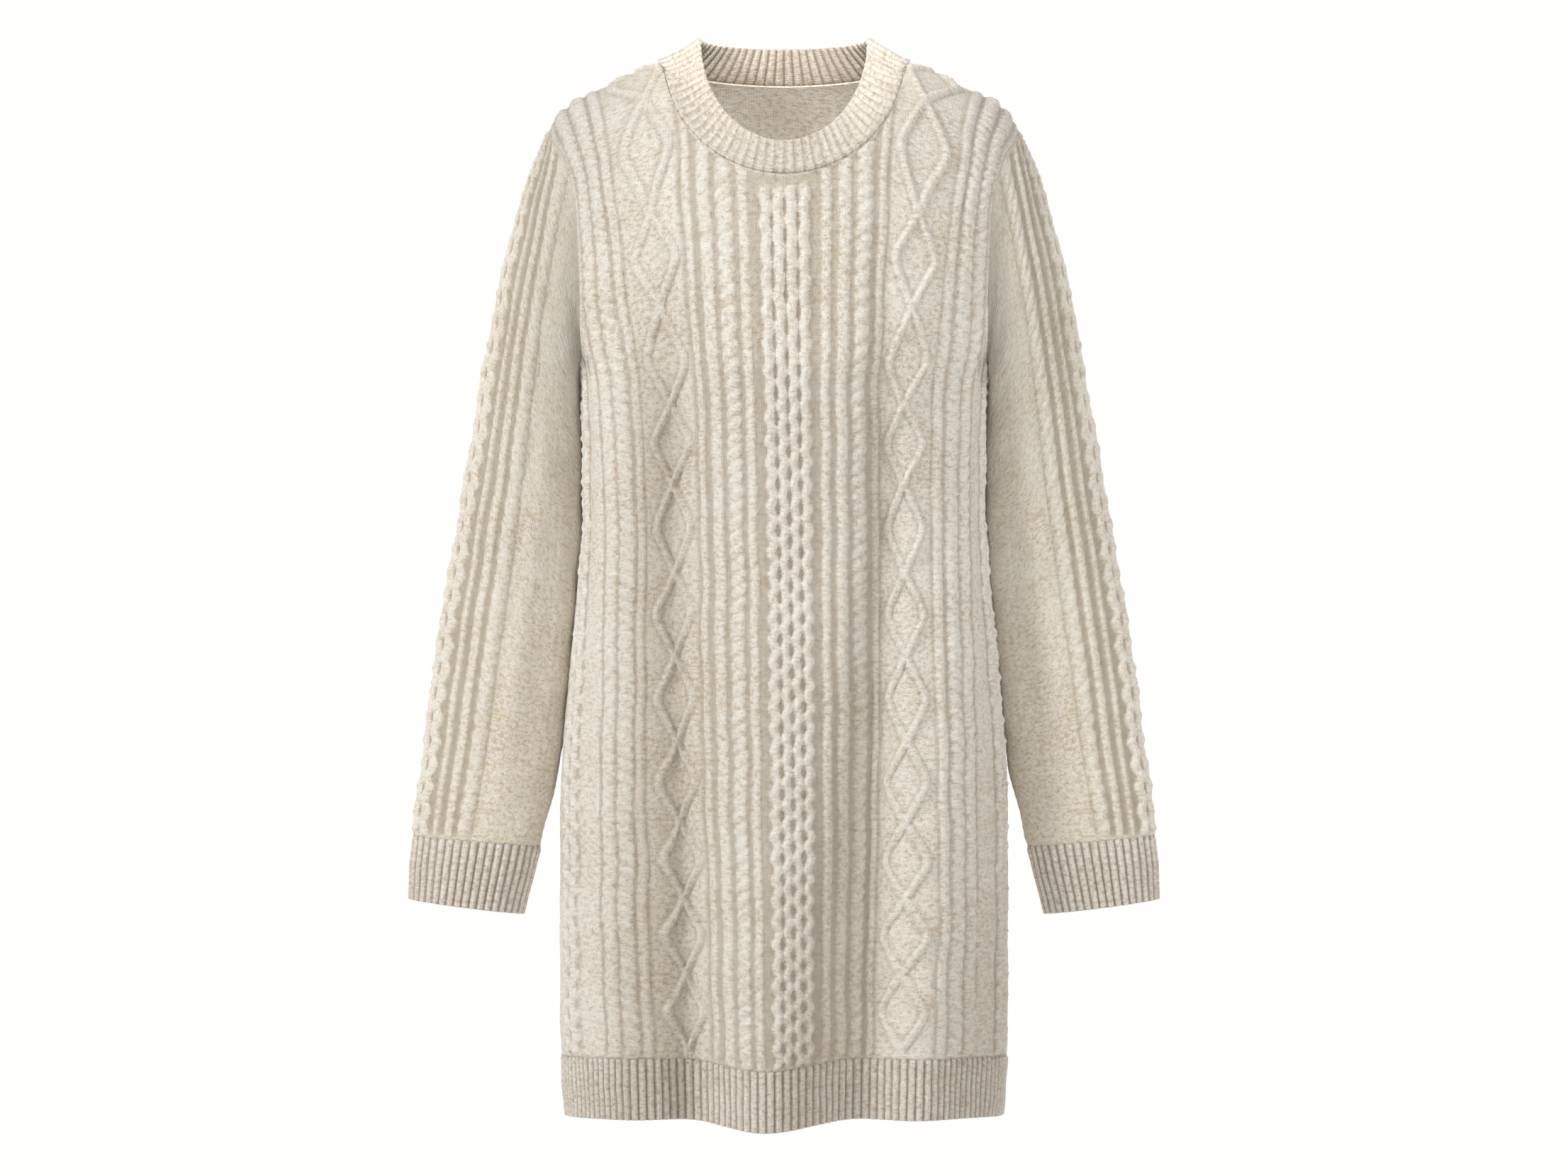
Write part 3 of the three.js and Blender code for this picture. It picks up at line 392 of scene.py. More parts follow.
def diamond_relief(across, level):
    """Two lines at middle +- half * w, where w is a triangle wave that is 0 at each crossing and 1
    between two crossings, with its tip rounded. Returns their height, how far a place is inside a
    diamond, and a painted shadow along both sides of a line."""
    edges = np.concatenate([[CROSSINGS[0] + REACH_ABOVE], CROSSINGS, [CROSSINGS[-1] - REACH_BELOW]])[::-1]
    row = np.clip(np.searchsorted(edges, level) - 1, 0, len(edges) - 2)
    share = (level - edges[row]) / (edges[row + 1] - edges[row])
    tip = 1 - np.abs(2 * share - 1)
    tip = np.where(tip > 0.8, 1 - (1 - tip) ** 2 / 0.4 - 0.1, tip)
    side_way = np.where(row % 2 == 0, 1, -1)
    spread = (DIAMOND_HALF - 0.6) * tip
    distance = across - FLAT_DIAMOND
    line_a = bead(distance - side_way * spread, DIAMOND_LINE_HALF)
    line_b = bead(distance + side_way * spread, DIAMOND_LINE_HALF)
    twist = 1 + 0.14 * wobble(across, level, 57, 7)
    line = np.maximum(line_a, line_b)
    nearest = np.minimum(np.abs(distance - spread), np.abs(distance + spread))
    # painted shadow along both sides of each line
    painted_line_shadow = 0.65 * np.clip(bead(nearest, DIAMOND_LINE_HALF + 2.6, 0.8) - 1.6 * line, 0, 1)
    inside = smoothstep(spread - np.abs(distance), 0, 6)
    return DIAMOND_LINE_HEIGHT * line * twist, inside, painted_line_shadow


# level, how far the front's columns have drifted to the wearer's left there
DRIFT = by_level([(60, 0), (-120, 0), (-330, 3.5), (-580, 6.5), (-870, 8)])


def panel_relief(side, across, level, below_top=99.0):
    """The height of the knitting over the plain wall in millimetres, and a value of painted light that
    runs from -1, a painted highlight on the crest of a ridge, to 1, painted shade in a gap between
    ridges or along a diamond's line. The front's columns drift as they go down, the middle cable
    starts 6 mm below the neck, and small waves make every ridge uneven. The outer columns get
    painted light outside their gaps."""
    if side < 0:
        across = across - read(DRIFT, 1, level) * (1 - (across / FLAT_SIDE) ** 4)
    off_middle = smoothstep(np.abs(across), 0, 30)
    flat = np.abs(across) + 0.7 * wobble(across * 0.3, level, 3 + side, 70) * off_middle
    turns = wave_turns(level) + 0.05 * wobble(across * 0, level, 5, 90)
    sway = 0.9 + 0.7 * smoothstep(-level, 120, 480)
    height = STRAND_HEIGHT * strand_relief(flat, turns, STRANDS, sway, STRAND_HALF)
    height = height * smoothstep(below_top, *CABLE_START)
    side_cable = strand_relief(flat, turns + 0.25, SIDE_STRANDS, SIDE_SWAY, SIDE_HALF)
    height = np.maximum(height, SIDE_HEIGHT * side_cable)
    for ridges, here in ((LEFT_RIDGES, across < 0), (RIGHT_RIDGES, across >= 0)):
        for ridge in ridges:
            height = np.where(here, np.maximum(height, rope_relief(flat, level, ridge)), height)
    crest = smoothstep(height, 1.0, 2.6)
    lines, inside, painted_line_shadow = diamond_relief(flat, level)
    height = np.maximum(height, lines)
    crest = np.maximum(crest, 0.8 * smoothstep(lines, 1.2, 3.0))
    cabled = 1 - smoothstep(flat, *CABLES_END)
    for begin, full, thin, end in PLAIN_STRIPS:
        cabled = cabled * (1 - smoothstep(flat, begin, full) * (1 - smoothstep(flat, thin, end)))
    # the gap value paints shade between ridges and along the diamonds' lines
    gap = 0.85 * cabled * (1 - smoothstep(height, 0.0, 1.0)) + painted_line_shadow
    height = hand_knit(height, across, level, (61, 67))
    height = height - GAP_DEPTH * gap + 0.6 * wobble(across, level, 11 + side, 46)
    # painted light on the outer columns, outside their gaps
    painted_side_light = 0.4 * smoothstep(flat, 114, 124) * (1 - np.clip(1.3 * gap, 0, 1))
    return height + 0.5 * inside * (1 - cabled), gap - crest - painted_side_light


sample = panel_relief(-1, np.array([4.3, 8.6, 110.0]), np.array([-400.0, -400.0, -400.0]))
print("relief on a strand, in a gap and on plain knitting:", sample[0].round(2).tolist())

# %% [markdown]
# ## From a grid of points to a closed wall
#
# A knitted wall is 2 to 3 mm thick. Solidify would give the inside as many faces as the outside,
# although the inside is plain. Here the inside takes every fourth row and column of the grid, and
# each stretch of rim is one face with five points on the fine edge and two on the coarse one.

# %% Walls from grids
COARSE = 4


def grid_faces(index, flip):
    """The four corners of each cell of a grid of point numbers."""
    cells = np.stack([index[:-1, :-1], index[:-1, 1:], index[1:, 1:], index[1:, :-1]], -1)
    return cells.reshape(-1, 4)[:, ::-1 if flip else 1]


def rim_faces(outer, inner, flip):
    """Faces between a fine edge and a coarse one: five fine points, then the two coarse ones."""
    count = len(inner) - 1
    starts = np.arange(count)[:, None] * COARSE + np.arange(COARSE + 1)
    faces = np.concatenate([outer[starts], inner[1:, None], inner[:-1, None]], 1)
    return faces[:, ::-1 if flip else 1]


def used_points(faces, count):
    """The numbers of the points that some face uses, and the faces with those points counted anew."""
    used = np.unique(np.concatenate([block.ravel() for block in faces]))
    renumber = np.zeros(count, int)
    renumber[used] = np.arange(len(used))
    return used, [renumber[block] for block in faces]


def make_mesh(name, points, faces, uv, tone, fold):
    """A mesh from points in millimetres and lists of faces, smooth, with a UV map in metres and
    each point's two values of painted light: a highlight on ridges and shade in their gaps, and the
    shade of the folds, the skirt and the hidden faces of bands."""
    mesh = bpy.data.meshes.new(name)
    mesh.from_pydata((points * MM).tolist(), [], [face for block in faces for face in block.tolist()])
    mesh.shade_smooth()
    corners = np.empty(len(mesh.loops), np.int32)
    mesh.loops.foreach_get("vertex_index", corners)
    layer = mesh.uv_layers.new(name="knit")
    layer.data.foreach_set("uv", (uv[corners] * MM).ravel())
    for label, values in (("tone", tone), ("fold", fold)):
        attribute = mesh.attributes.new(label, "FLOAT", "POINT")
        attribute.data.foreach_set("value", values.astype(np.float32))
    mesh.validate()
    piece = bpy.data.objects.new(name, mesh)
    bpy.context.scene.collection.objects.link(piece)
    return piece


def triangle_count(piece):
    """Triangles once every face is split."""
    return sum(len(face.vertices) - 2 for face in piece.data.polygons)


def surface_area(grid):
    """The area of a grid of points in square millimetres: half the cross product of each cell's
    diagonals."""
    first, second = grid[1:, 1:] - grid[:-1, :-1], grid[1:, :-1] - grid[:-1, 1:]
    return 0.5 * np.linalg.norm(np.cross(first, second), axis=-1).sum()


pieces = {}

# %% [markdown]
# ## The two panels
#
# The grid's columns lie closer where cables need them, 1.3 mm apart in the middle, 1.5 mm on the
# side cables and up to 4 mm on plain knitting. Its rows come in two blocks. The lower one runs over
# the whole width, from the hem to where the armholes begin, and the upper one only between the
# armholes. Both meet in one shared row, so that the panel has no seam there.

# %% Panels
LOWER_ROWS, UPPER_ROWS = 248, 108
# from, to and number of columns of each zone, up to the armhole's column and beyond it
ZONES = [(0, 18, 14), (18, 70, 36), (70, 117, 30), (117, 154, 24)]
WING_ZONES = [(154, 170, 4), (170, 197, 18), (197, 214, 6)]
RELIEF_FADE, NECK_FADE, SIDE_EASE = 6.0, 3.5, 2
GATHER = 10.0
# the raised line beside the armhole's seam
ARM_SEAM_HEIGHT, ARM_SEAM_PLACE, ARM_SEAM_HALF = 1.1, 3.4, 2.2
# moves each piece's UV map clear of zero
UV_ACROSS, UV_UP = 250, 900


def panel_columns():
    """Places across the panel: even steps in each zone, closer on the cables."""
    half = np.concatenate([np.linspace(a, b, n, endpoint=False) for a, b, n in ZONES] + [[FLAT_SEAM]])
    wing = np.concatenate([np.linspace(a, b, n + 1)[1:] for a, b, n in WING_ZONES])
    return np.concatenate([-wing[::-1], -half[:0:-1], half, wing]), len(wing)


def panel_levels(side, across, wing):
    """Levels of the two blocks. The lower block's top is where the armhole begins, or the armhole
    itself beyond that column. The upper block's rows are level, and those that would pass the neck
    are gathered in the last 10 mm below it: top - 10 * (0.9 (1 - s)^p + 0.1 (1 - s))."""
    tops, bottoms = top_levels(side, across), bottom_levels(across)
    beyond = np.abs(across) > FLAT_SEAM + 1e-6
    knees = np.where(beyond, tops, SIDE_CUT_LEVEL)
    low = bottoms + np.linspace(0, 1, LOWER_ROWS + 1)[:, None] * (knees - bottoms)
    inner = slice(wing, len(across) - wing)
    common = np.linspace(SIDE_CUT_LEVEL, SHOULDER_LEVEL, UPPER_ROWS + 1)[1:, None]
    ends = tops[inner]
    left = np.clip((common - ends + GATHER) / (SHOULDER_LEVEL - ends + GATHER), 0, 1)
    power = (SHOULDER_LEVEL - ends + GATHER) / GATHER
    gathered = ends - GATHER * (0.9 * (1 - left) ** power + 0.1 * (1 - left))
    high = np.where(common < ends - GATHER, common, gathered)
    return low, high, tops, bottoms


def over_blocks(values, low, high, inner):
    """One value for each column, repeated over all the rows of both blocks as one long list."""
    return np.concatenate([np.broadcast_to(values, low.shape).ravel(),
                           np.broadcast_to(values[inner], high.shape).ravel()])


def make_panel(name, side):
    """A panel's outer grid with relief, its plain inner grid and the rim between them."""
    across, wing = panel_columns()
    low, high, tops, bottoms = panel_levels(side, across, wing)
    count = len(across)
    inner = slice(wing, count - wing)
    low_index = np.arange(low.size).reshape(low.shape)
    high_rows = low.size + np.arange(high.size).reshape(high.shape)
    high_index = np.concatenate([low_index[-1:, inner], high_rows])
    levels = np.concatenate([low.ravel(), high.ravel()])
    places, ends, starts = (over_blocks(v, low, high, inner) for v in (across, tops, bottoms))
    base = panel_points(side, places, levels)
    normals = panel_normals(side, places, levels)
    height, gap = panel_relief(side, places, levels, ends - levels)
    from_edge = np.minimum(ends - levels, levels - starts)
    from_edge = np.minimum(from_edge, (FLAT_SIDE - np.abs(places)) + SIDE_EASE)
    beside_arm = np.where(np.abs(places) > FLAT_SEAM, ends - levels,
                          np.hypot(FLAT_SEAM - np.abs(places), np.clip(SIDE_CUT_LEVEL - levels, 0, None)))
    ease = smoothstep(from_edge, 0, NECK_FADE) * smoothstep(beside_arm, 0, RELIEF_FADE)
    seam = ARM_SEAM_HEIGHT * bead(beside_arm - ARM_SEAM_PLACE, ARM_SEAM_HALF)
    outer = base + normals * (height * ease + seam)[:, None]
    inside = base - normals * WALL
    points = np.concatenate([outer, inside])
    step = slice(None, None, COARSE)
    low_in, high_in = low_index[step, step] + len(outer), high_index[step, step] + len(outer)
    flip = side > 0
    rims = [(low_index[0], low_in[0], flip), (low_index[:, 0], low_in[:, 0], not flip),
            (low_index[:, -1], low_in[:, -1], flip), (high_index[-1], high_in[-1], not flip),
            (high_index[:, 0], high_in[:, 0], not flip), (high_index[:, -1], high_in[:, -1], flip),
            (low_index[-1, :wing + 1], low_in[-1, :wing // COARSE + 1], not flip),
            (low_index[-1, -wing - 1:], low_in[-1, -(wing // COARSE) - 1:], not flip)]
    faces = [grid_faces(low_index, flip), grid_faces(high_index, flip),
             grid_faces(low_in, not flip), grid_faces(high_in, not flip)]
    faces += [rim_faces(fine, coarse, not turned) for fine, coarse, turned in rims]
    used, faces = used_points(faces, len(points))
    uv = np.tile(np.stack([places + UV_ACROSS, levels + UV_UP], -1), (2, 1))
    # painted highlight on crests and painted shade in gaps, on the outer face only
    tone = np.concatenate([gap * ease, gap * 0])
    # painted shade of the folds and of the skirt towards the hem, on both faces of the wall
    fold = np.tile(painted_fold_shade(side, base[:, 0], levels), 2)
    piece = make_mesh(name, points[used], faces, uv[used], tone[used], fold[used])
    area = surface_area(base[low_index]) + surface_area(base[high_index])
    return piece, area


panel_area = {}
for name, side in (("front_panel", -1), ("back_panel", 1)):
    piece, area = make_panel(name + "_knit", side)
    pieces[name], panel_area[name] = piece, area
    print(piece.name, triangle_count(piece), "triangles,", round(area / 1e6, 3), "m2")

# %% [markdown]
# ## Sleeves
#
# A sleeve is an oval tube that starts on the armhole's own curve and narrows to the cuff. Its outer
# and inner outlines come from the photograph, read at ten stations. Two wavy strands run down its
# outer edge, then two ridges and a rope, and the rest is plain, with soft hollows where the arm
# would bend. The same tube is used left and right, mirrored by the sign of x.

# %% Sleeves
CUFF_SEAM, CUFF_EDGE = 8.0, 9.0
# station, outer line x and z, inner line x and z, half depth, how far back
SLEEVE = by_level([
    (0, 190, -56, 163.8, -252, 43, 0), (1, 208, -98, 164, -262, 47, 3),
    (2, 224, -152, 162.5, -285, 47, 8), (3, 238.5, -222, 161.8, -330, 44, 13),
    (4, 254, -312, 162, -385, 40, 16), (5, 268.4, -395, 167.5, -450, 36, 17),
    (6, 281.3, -475, 175, -512, 34, 15), (7, 291.5, -553, 183, -573, 32, 11),
    (8, 300.5, -626, 197.5, -635, 29, 5), (9, 303.8, -678, 211.3, -690, 25, 3),
])
SLEEVE_CAP = 2.2
SLEEVE_ROWS, SLEEVE_COLUMNS = 288, 184
# the sleeves' UV start, and the painted light given to a sleeve's inner wall
SLEEVE_UV_UP, SLEEVE_INSIDE_LIGHT = 850, -0.2


def armhole_points(angle):
    """The armhole's curve on the body's wall: the level is its middle plus half its height times
    the cosine of the angle, in front for the first half turn and behind for the second."""
    middle, reach = (SHOULDER_LEVEL + UNDERARM_LEVEL) / 2, (SHOULDER_LEVEL - UNDERARM_LEVEL) / 2
    level = middle + reach * np.cos(angle)
    half_width = read(BODY, 1, level)
    across = np.arcsin(np.minimum(1, np.minimum(read(ARMHOLE, 1, level), half_width) / half_width))
    behind = (np.sin(angle) < 0)[..., None]
    return np.where(behind, body_points(1, across, level), body_points(-1, across, level))


def sleeve_oval(angle, station):
    """x and z = middle + half * cos(angle), y = back - half depth * sin(angle)."""
    out_x, out_z, in_x, in_z, depth, back = (read(SLEEVE, i, station) for i in range(1, 7))
    x = (out_x + in_x) / 2 + (out_x - in_x) / 2 * np.cos(angle)
    z = (out_z + in_z) / 2 + (out_z - in_z) / 2 * np.cos(angle)
    return np.stack([x, back - depth * np.sin(angle), z], -1)


def sleeve_points(mirror, angle, station):
    """The oval, eased into the armhole's curve near station 0 by (1 - station / cap)^2."""
    ease = np.clip(1 - station / SLEEVE_CAP, 0, None) ** 2
    start = armhole_points(angle) - sleeve_oval(angle, np.zeros_like(station))
    return (sleeve_oval(angle, station) + start * ease[..., None]) * np.array([mirror, 1, 1])


def sleeve_normals(mirror, angle, station, step=0.02):
    """The outward normal: the cross product of the steps round and along the tube."""
    round_step = (sleeve_points(mirror, angle + step, station)
                  - sleeve_points(mirror, angle - step, station))
    back = np.maximum(station - step, 0)
    ahead = np.where(station < step, step, station)
    along = sleeve_points(mirror, angle, ahead) - sleeve_points(mirror, angle, back)
    return unit(np.cross(round_step, along)) * mirror


def path_lengths(grid, axis):
    """Distances added up along one axis of a grid of points."""
    steps = np.linalg.norm(np.diff(grid, axis=axis), axis=-1)
    pad = [(0, 0), (0, 0)]
    pad[axis] = (1, 0)
    return np.pad(np.cumsum(steps, axis=axis), pad)


# the same numbers as on the panels, but with places and widths in degrees from the outer line
SLEEVE_STRANDS = ((16.0, 1), (32.0, -1))
SLEEVE_SWAY, SLEEVE_STRAND_HALF = 2.6, 8.2
SLEEVE_RIDGES = [
    (50, 4.4, 1.2, 8, 0.0, 0.3), (64, 5.0, 1.8, 11, 0.3, 0.4), (79, 7.4, 2.6, 14, -0.5, 0.5),
]
# degrees from the outer line, their spread, distance down the sleeve, its spread, depth
HOLLOWS = [
    (92, 8, 150, 160, 3.0), (104, 13, 140, 150, 2.0), (122, 16, 330, 170, 2.4), (90, 8, 420, 150, 1.8),
]


def sleeve_relief(mirror, angle, down):
    """Strands and ridges at set degrees either side of the outer line, less the hollows, and the
    painted highlight on crests and painted shade in gaps."""
    degrees = np.degrees(np.abs((angle + math.pi) % (2 * math.pi) - math.pi))
    turns = -down / 17.6 + 0.04 * wobble(angle * 0, down, 21, 90)
    strands = strand_relief(degrees, turns, SLEEVE_STRANDS, SLEEVE_SWAY, SLEEVE_STRAND_HALF)
    height = (1.7 + 1.3 * smoothstep(down, 60, 300)) * strands
    for ridge in SLEEVE_RIDGES:
        height = np.maximum(height, rope_relief(degrees, down, ridge))
    gap = (1 - smoothstep(height, 0, 1.0)) * (1 - smoothstep(degrees, 84, 88))
    crest = smoothstep(height, 0.8, 2.2)
    height = hand_knit(height, degrees * 0.8, down, (71, 73))
    hollow = 0.0
    for place, size, start, length, depth in HOLLOWS:
        away = ((degrees - place) / size) ** 2 + ((down - start) / length) ** 2
        hollow = hollow + depth * np.exp(-away)
    uneven = 0.8 * wobble(np.degrees(angle) * 0.8, down, 31 + mirror, 52)
    return height - GAP_DEPTH * gap - hollow + uneven, gap - crest


def make_sleeve(name, mirror):
    """A sleeve's outer grid round and along the tube, with a coarse plain wall inside."""
    angle = np.linspace(0, 2 * math.pi, SLEEVE_COLUMNS + 1)
    station = np.linspace(0, CUFF_SEAM, SLEEVE_ROWS + 1)
    stations, angles = np.meshgrid(station, angle, indexing="ij")
    base, normals = sleeve_points(mirror, angles, stations), sleeve_normals(mirror, angles, stations)
    down, around = path_lengths(base, 0), path_lengths(base, 1)
    along = down[:, SLEEVE_COLUMNS // 4][:, None] + 0 * angles
    height, gap = sleeve_relief(mirror, angles, along)
    total = along[-1, 0]
    ease = smoothstep(np.minimum(along, total - along), 0, RELIEF_FADE)
    outer = base + normals * (height * ease)[..., None]
    inside = base - normals * WALL
    index = np.arange(along.size).reshape(along.shape)
    index[:, -1] = index[:, 0]
    coarse = index[::COARSE, ::COARSE] + along.size
    turned = mirror < 0
    faces = [grid_faces(index, turned), grid_faces(coarse, not turned),
             rim_faces(index[0], coarse[0], not turned), rim_faces(index[-1], coarse[-1], turned)]
    across = around - around[:, -1:] / 2
    uv = np.stack([across + UV_ACROSS, SLEEVE_UV_UP - along], -1).reshape(-1, 2)
    points = np.concatenate([outer.reshape(-1, 3), inside.reshape(-1, 3)])
    used, faces = used_points(faces, len(points))
    # painted highlight on crests and painted shade in gaps outside; the inner wall takes the sleeves'
    # painted inside light
    tone = np.concatenate([(gap * ease).ravel(), np.full(gap.size, SLEEVE_INSIDE_LIGHT)])[used]
    piece = make_mesh(name, points[used], faces, np.tile(uv, (2, 1))[used], tone, tone * 0)
    return piece, surface_area(base), total


sleeve_area = {}
for name, mirror in (("right_sleeve", -1), ("left_sleeve", 1)):
    piece, area, length = make_sleeve(name + "_knit", mirror)
    pieces[name], sleeve_area[name] = piece, area
    print(piece.name, triangle_count(piece), "triangles,", round(area / 1e6, 3), "m2")
    print("length along its front line:", round(length), "mm")

# %% [markdown]
# ## Ribs
#
# One-by-one rib is a strip of narrow ridges on both faces: where one face has a ridge the other has
# a gap. Every rib band of the dress is the same idea, a closed profile carried along a path. The
# profile goes down the outer face, round the soft free edge and up the inner face. Round columns
# of stitches make a wave across it. Hem, cuffs and neck differ only in the surface they lie on.

# %% Rib bands
RIB_HEIGHT = 2.1
# how far the outer and inner faces sink at the seam, and where they are level again
SEAM_SINK, INNER_LIP, SINK_LENGTH = 0.1, 1.0, 4
# the hidden face of a band gets painted shade, and its inner face has paler painted shade in the gaps
INSIDE_SHADE, BACK_GAPS = 0.8, 0.4
POINTS_A_RIB = 6
OUTER_ROWS, EDGE_ROWS, INNER_ROWS = 18, 5, 8
BAND_UV_ACROSS, BAND_UV_UP = 20, 300


def rib_profile(length):
    """The profile's places: the share of the band's length from the seam, and the height over the
    outer wall. It goes out, turns half a circle of half the wall's thickness, and comes back."""
    radius = WALL / 2
    straight = 1 - radius / length
    turn = np.linspace(0, math.pi, EDGE_ROWS + 2)[1:-1]
    round_edge = straight + np.sin(turn) * radius / length
    share = np.concatenate([np.linspace(0, straight, OUTER_ROWS), round_edge,
                            np.linspace(straight, 0, INNER_ROWS)])
    height = np.concatenate([np.zeros(OUTER_ROWS), radius * np.cos(turn) - radius,
                             np.full(INNER_ROWS, -WALL)])
    return share, height


def rib_wave(ribs, columns):
    """Ridges across a band: the cosine raised so that ridges are broad and the gaps narrow, from 0
    in a gap to 1 on a ridge."""
    turn = np.arange(columns) / POINTS_A_RIB
    return (0.5 - 0.5 * np.cos(2 * math.pi * turn)) ** 0.5


def make_band(name, surface, length, ribs, closed, flip, side=0, turned_in=False):
    """A rib band. surface(along, share) gives points and normals for a place along the band, from 0
    to 1, and a share of its depth. A closed band meets itself, an open one gets an end face. The
    normals of a band that is turned in point into its opening."""
    columns = ribs * POINTS_A_RIB
    along = np.arange(columns + (0 if closed else 1)) / columns
    share, offset = rib_profile(length)
    shares, places = np.meshgrid(share, along, indexing="ij")
    base, normals, width = surface(places, shares)
    wave = np.broadcast_to(rib_wave(ribs, len(along)), shares.shape)
    uneven = 0.18 * wobble(places * width, shares * length, 41, 30)
    from_seam = shares * length
    height = offset[:, None] + RIB_HEIGHT * (wave + uneven - 0.35) * smoothstep(from_seam, -1, 3)
    lip = np.where(offset[:, None] < -WALL / 2, INNER_LIP, SEAM_SINK)
    height = height - lip * (1 - smoothstep(from_seam, 0, SINK_LENGTH))
    points = (base + normals * height[..., None]).reshape(-1, 3)
    index = np.arange(shares.size).reshape(shares.shape)
    if closed:
        index = np.concatenate([index, index[:, :1]], 1)
    faces = [grid_faces(np.concatenate([index, index[:1]]), flip)]
    if not closed:
        way = 1 if flip else -1
        faces += [index[None, :, 0][:, ::way], index[None, :, -1][:, ::-way]]
    uv = np.stack([places * width + BAND_UV_ACROSS, BAND_UV_UP - shares * length], -1).reshape(-1, 2)
    # painted highlight on the ribs and painted shade in their gaps, paler on the inner face
    tone = (1 - 1.5 * wave) * np.where(offset < -WALL / 2, BACK_GAPS, 1)[:, None]
    # painted shade of the folds along the hem
    fold = painted_fold_shade(side, base[..., 0], np.full(shares.shape, FOLD_HEM))
    # painted shade on the hidden face of the band
    hidden = offset > -WALL / 2 if turned_in else offset < -WALL / 2
    fold = fold + INSIDE_SHADE * hidden[:, None]
    return make_mesh(name, points, faces, uv, tone.ravel(), fold.ravel())


# %% [markdown]
# ### Hem
#
# The hem rib hangs from the panels' last row. It follows the folds of the body's wall, which is why
# its lower edge looks scalloped from in front. Its ridges are spread evenly along the wall.

# %% Hem ribs
HEM_EDGE = -847.0
HEM_RIBS = 76
HEM_DEPTH = 48.5


def even_places(side):
    """Places across the panel that are evenly spaced along the hem seam, as a table of share and
    place, measured along the wall itself."""
    across = np.linspace(-FLAT_SIDE, FLAT_SIDE, 801)
    line = panel_points(side, across, bottom_levels(across))
    sums = np.concatenate([[0], np.cumsum(np.linalg.norm(np.diff(line, axis=0), axis=-1))])
    return sums / sums[-1], across, sums[-1]


def hem_surface(side):
    """Returns the surface of one hem rib: the level goes from the seam to the free edge by share."""
    shares_at, across_at, width = even_places(side)

    def surface(along, share):
        across = np.interp(along, shares_at, across_at)
        seam = bottom_levels(across)
        level = seam + (hem_line(across, HEM_EDGE) - seam) * share
        return panel_points(side, across, level), panel_normals(side, across, level), width

    return surface, width


band_size = {}
for name, side in (("front_hem_rib", -1), ("back_hem_rib", 1)):
    surface, width = hem_surface(side)
    pieces[name] = make_band(name + "_knit", surface, HEM_DEPTH, HEM_RIBS, False, side > 0, side)
    band_size[name] = (width, HEM_DEPTH)
    print(name, triangle_count(pieces[name]), "triangles,", round(width), "mm along the seam")

# %% [markdown]
# ### Cuffs
#
# A cuff carries on the sleeve's oval from its seam to the free edge. Its ridges are spread evenly
# round the wrist, so they look narrower towards the outer edge, where the cuff turns away.

# %% Cuffs
CUFF_RIBS = 38
CUFF_LENGTH = 54.0


def cuff_surface(mirror):
    """Returns the surface of one cuff, with its columns evenly spaced round the seam."""
    angle = np.linspace(0, 2 * math.pi, 721)
    line = sleeve_points(mirror, angle, np.full_like(angle, CUFF_SEAM))
    sums = np.concatenate([[0], np.cumsum(np.linalg.norm(np.diff(line, axis=0), axis=-1))])

    def surface(along, share):
        turn = np.interp(along, sums / sums[-1], angle)
        station = CUFF_SEAM + (CUFF_EDGE - CUFF_SEAM) * share
        return sleeve_points(mirror, turn, station), sleeve_normals(mirror, turn, station), sums[-1]

    return surface, sums[-1]


for name, mirror in (("right_cuff", -1), ("left_cuff", 1)):
    surface, width = cuff_surface(mirror)
    pieces[name] = make_band(name + "_knit", surface, CUFF_LENGTH, CUFF_RIBS, True, mirror > 0)
    band_size[name] = (width, CUFF_LENGTH)
    print(name, triangle_count(pieces[name]), "triangles,", round(width), "mm round the seam")

# %% [markdown]
# ### Neck
#
# The neck rib is knitted on to the panels' neck line and pulls in to a smaller oval, so it stands up
# in a soft ring. Its lower line is read from the panels' own top rows, in front and then behind.

# %% Neck rib
NECK_EDGE_HALF, NECK_EDGE_HEIGHT = 67.0, 17.5
NECK_EDGE_DROP = {-1: 88.0, 1: 2.5}
NECK_EDGE_DEPTH = {-1: 76.0, 1: 46.0}
NECK_FRONT_RIBS, NECK_BACK_RIBS = 44, 30
NECK_LENGTH, NECK_DEPTH, NECK_BULGE = 500.0, 32.0, 2.0


def neck_corner():
    """The first place across the panel whose column passes the neck and meets the shoulder."""
    across = np.linspace(40, FLAT_DIAMOND, 4000)
    return across[np.argmax(top_levels(-1, across) > SHOULDER_LEVEL - 0.35)]


def even_path(points, count_shares):
    """Points at even distances along a path."""
    sums = np.concatenate([[0], np.cumsum(np.linalg.norm(np.diff(points, axis=0), axis=-1))])
    return np.stack([np.interp(count_shares, sums / sums[-1], points[:, i]) for i in range(3)], -1)


CORNER = neck_corner()


def neck_lines(side, shares):
    """The seam on the panel and the free edge, from the left shoulder to the right one. The free
    edge is an oval: x = half * cos, y = depth * sin, z = height - drop * |sin|."""
    across = np.linspace(-CORNER, CORNER, 601)
    seam = panel_points(side, across, top_levels(side, across))
    angle = math.pi * (1 - side * np.linspace(0, 1, 601))
    free = np.stack([NECK_EDGE_HALF * np.cos(angle), NECK_EDGE_DEPTH[side] * np.sin(angle),
                     NECK_EDGE_HEIGHT - NECK_EDGE_DROP[side] * np.abs(np.sin(angle))], -1)
    return even_path(seam, shares), even_path(free, shares)


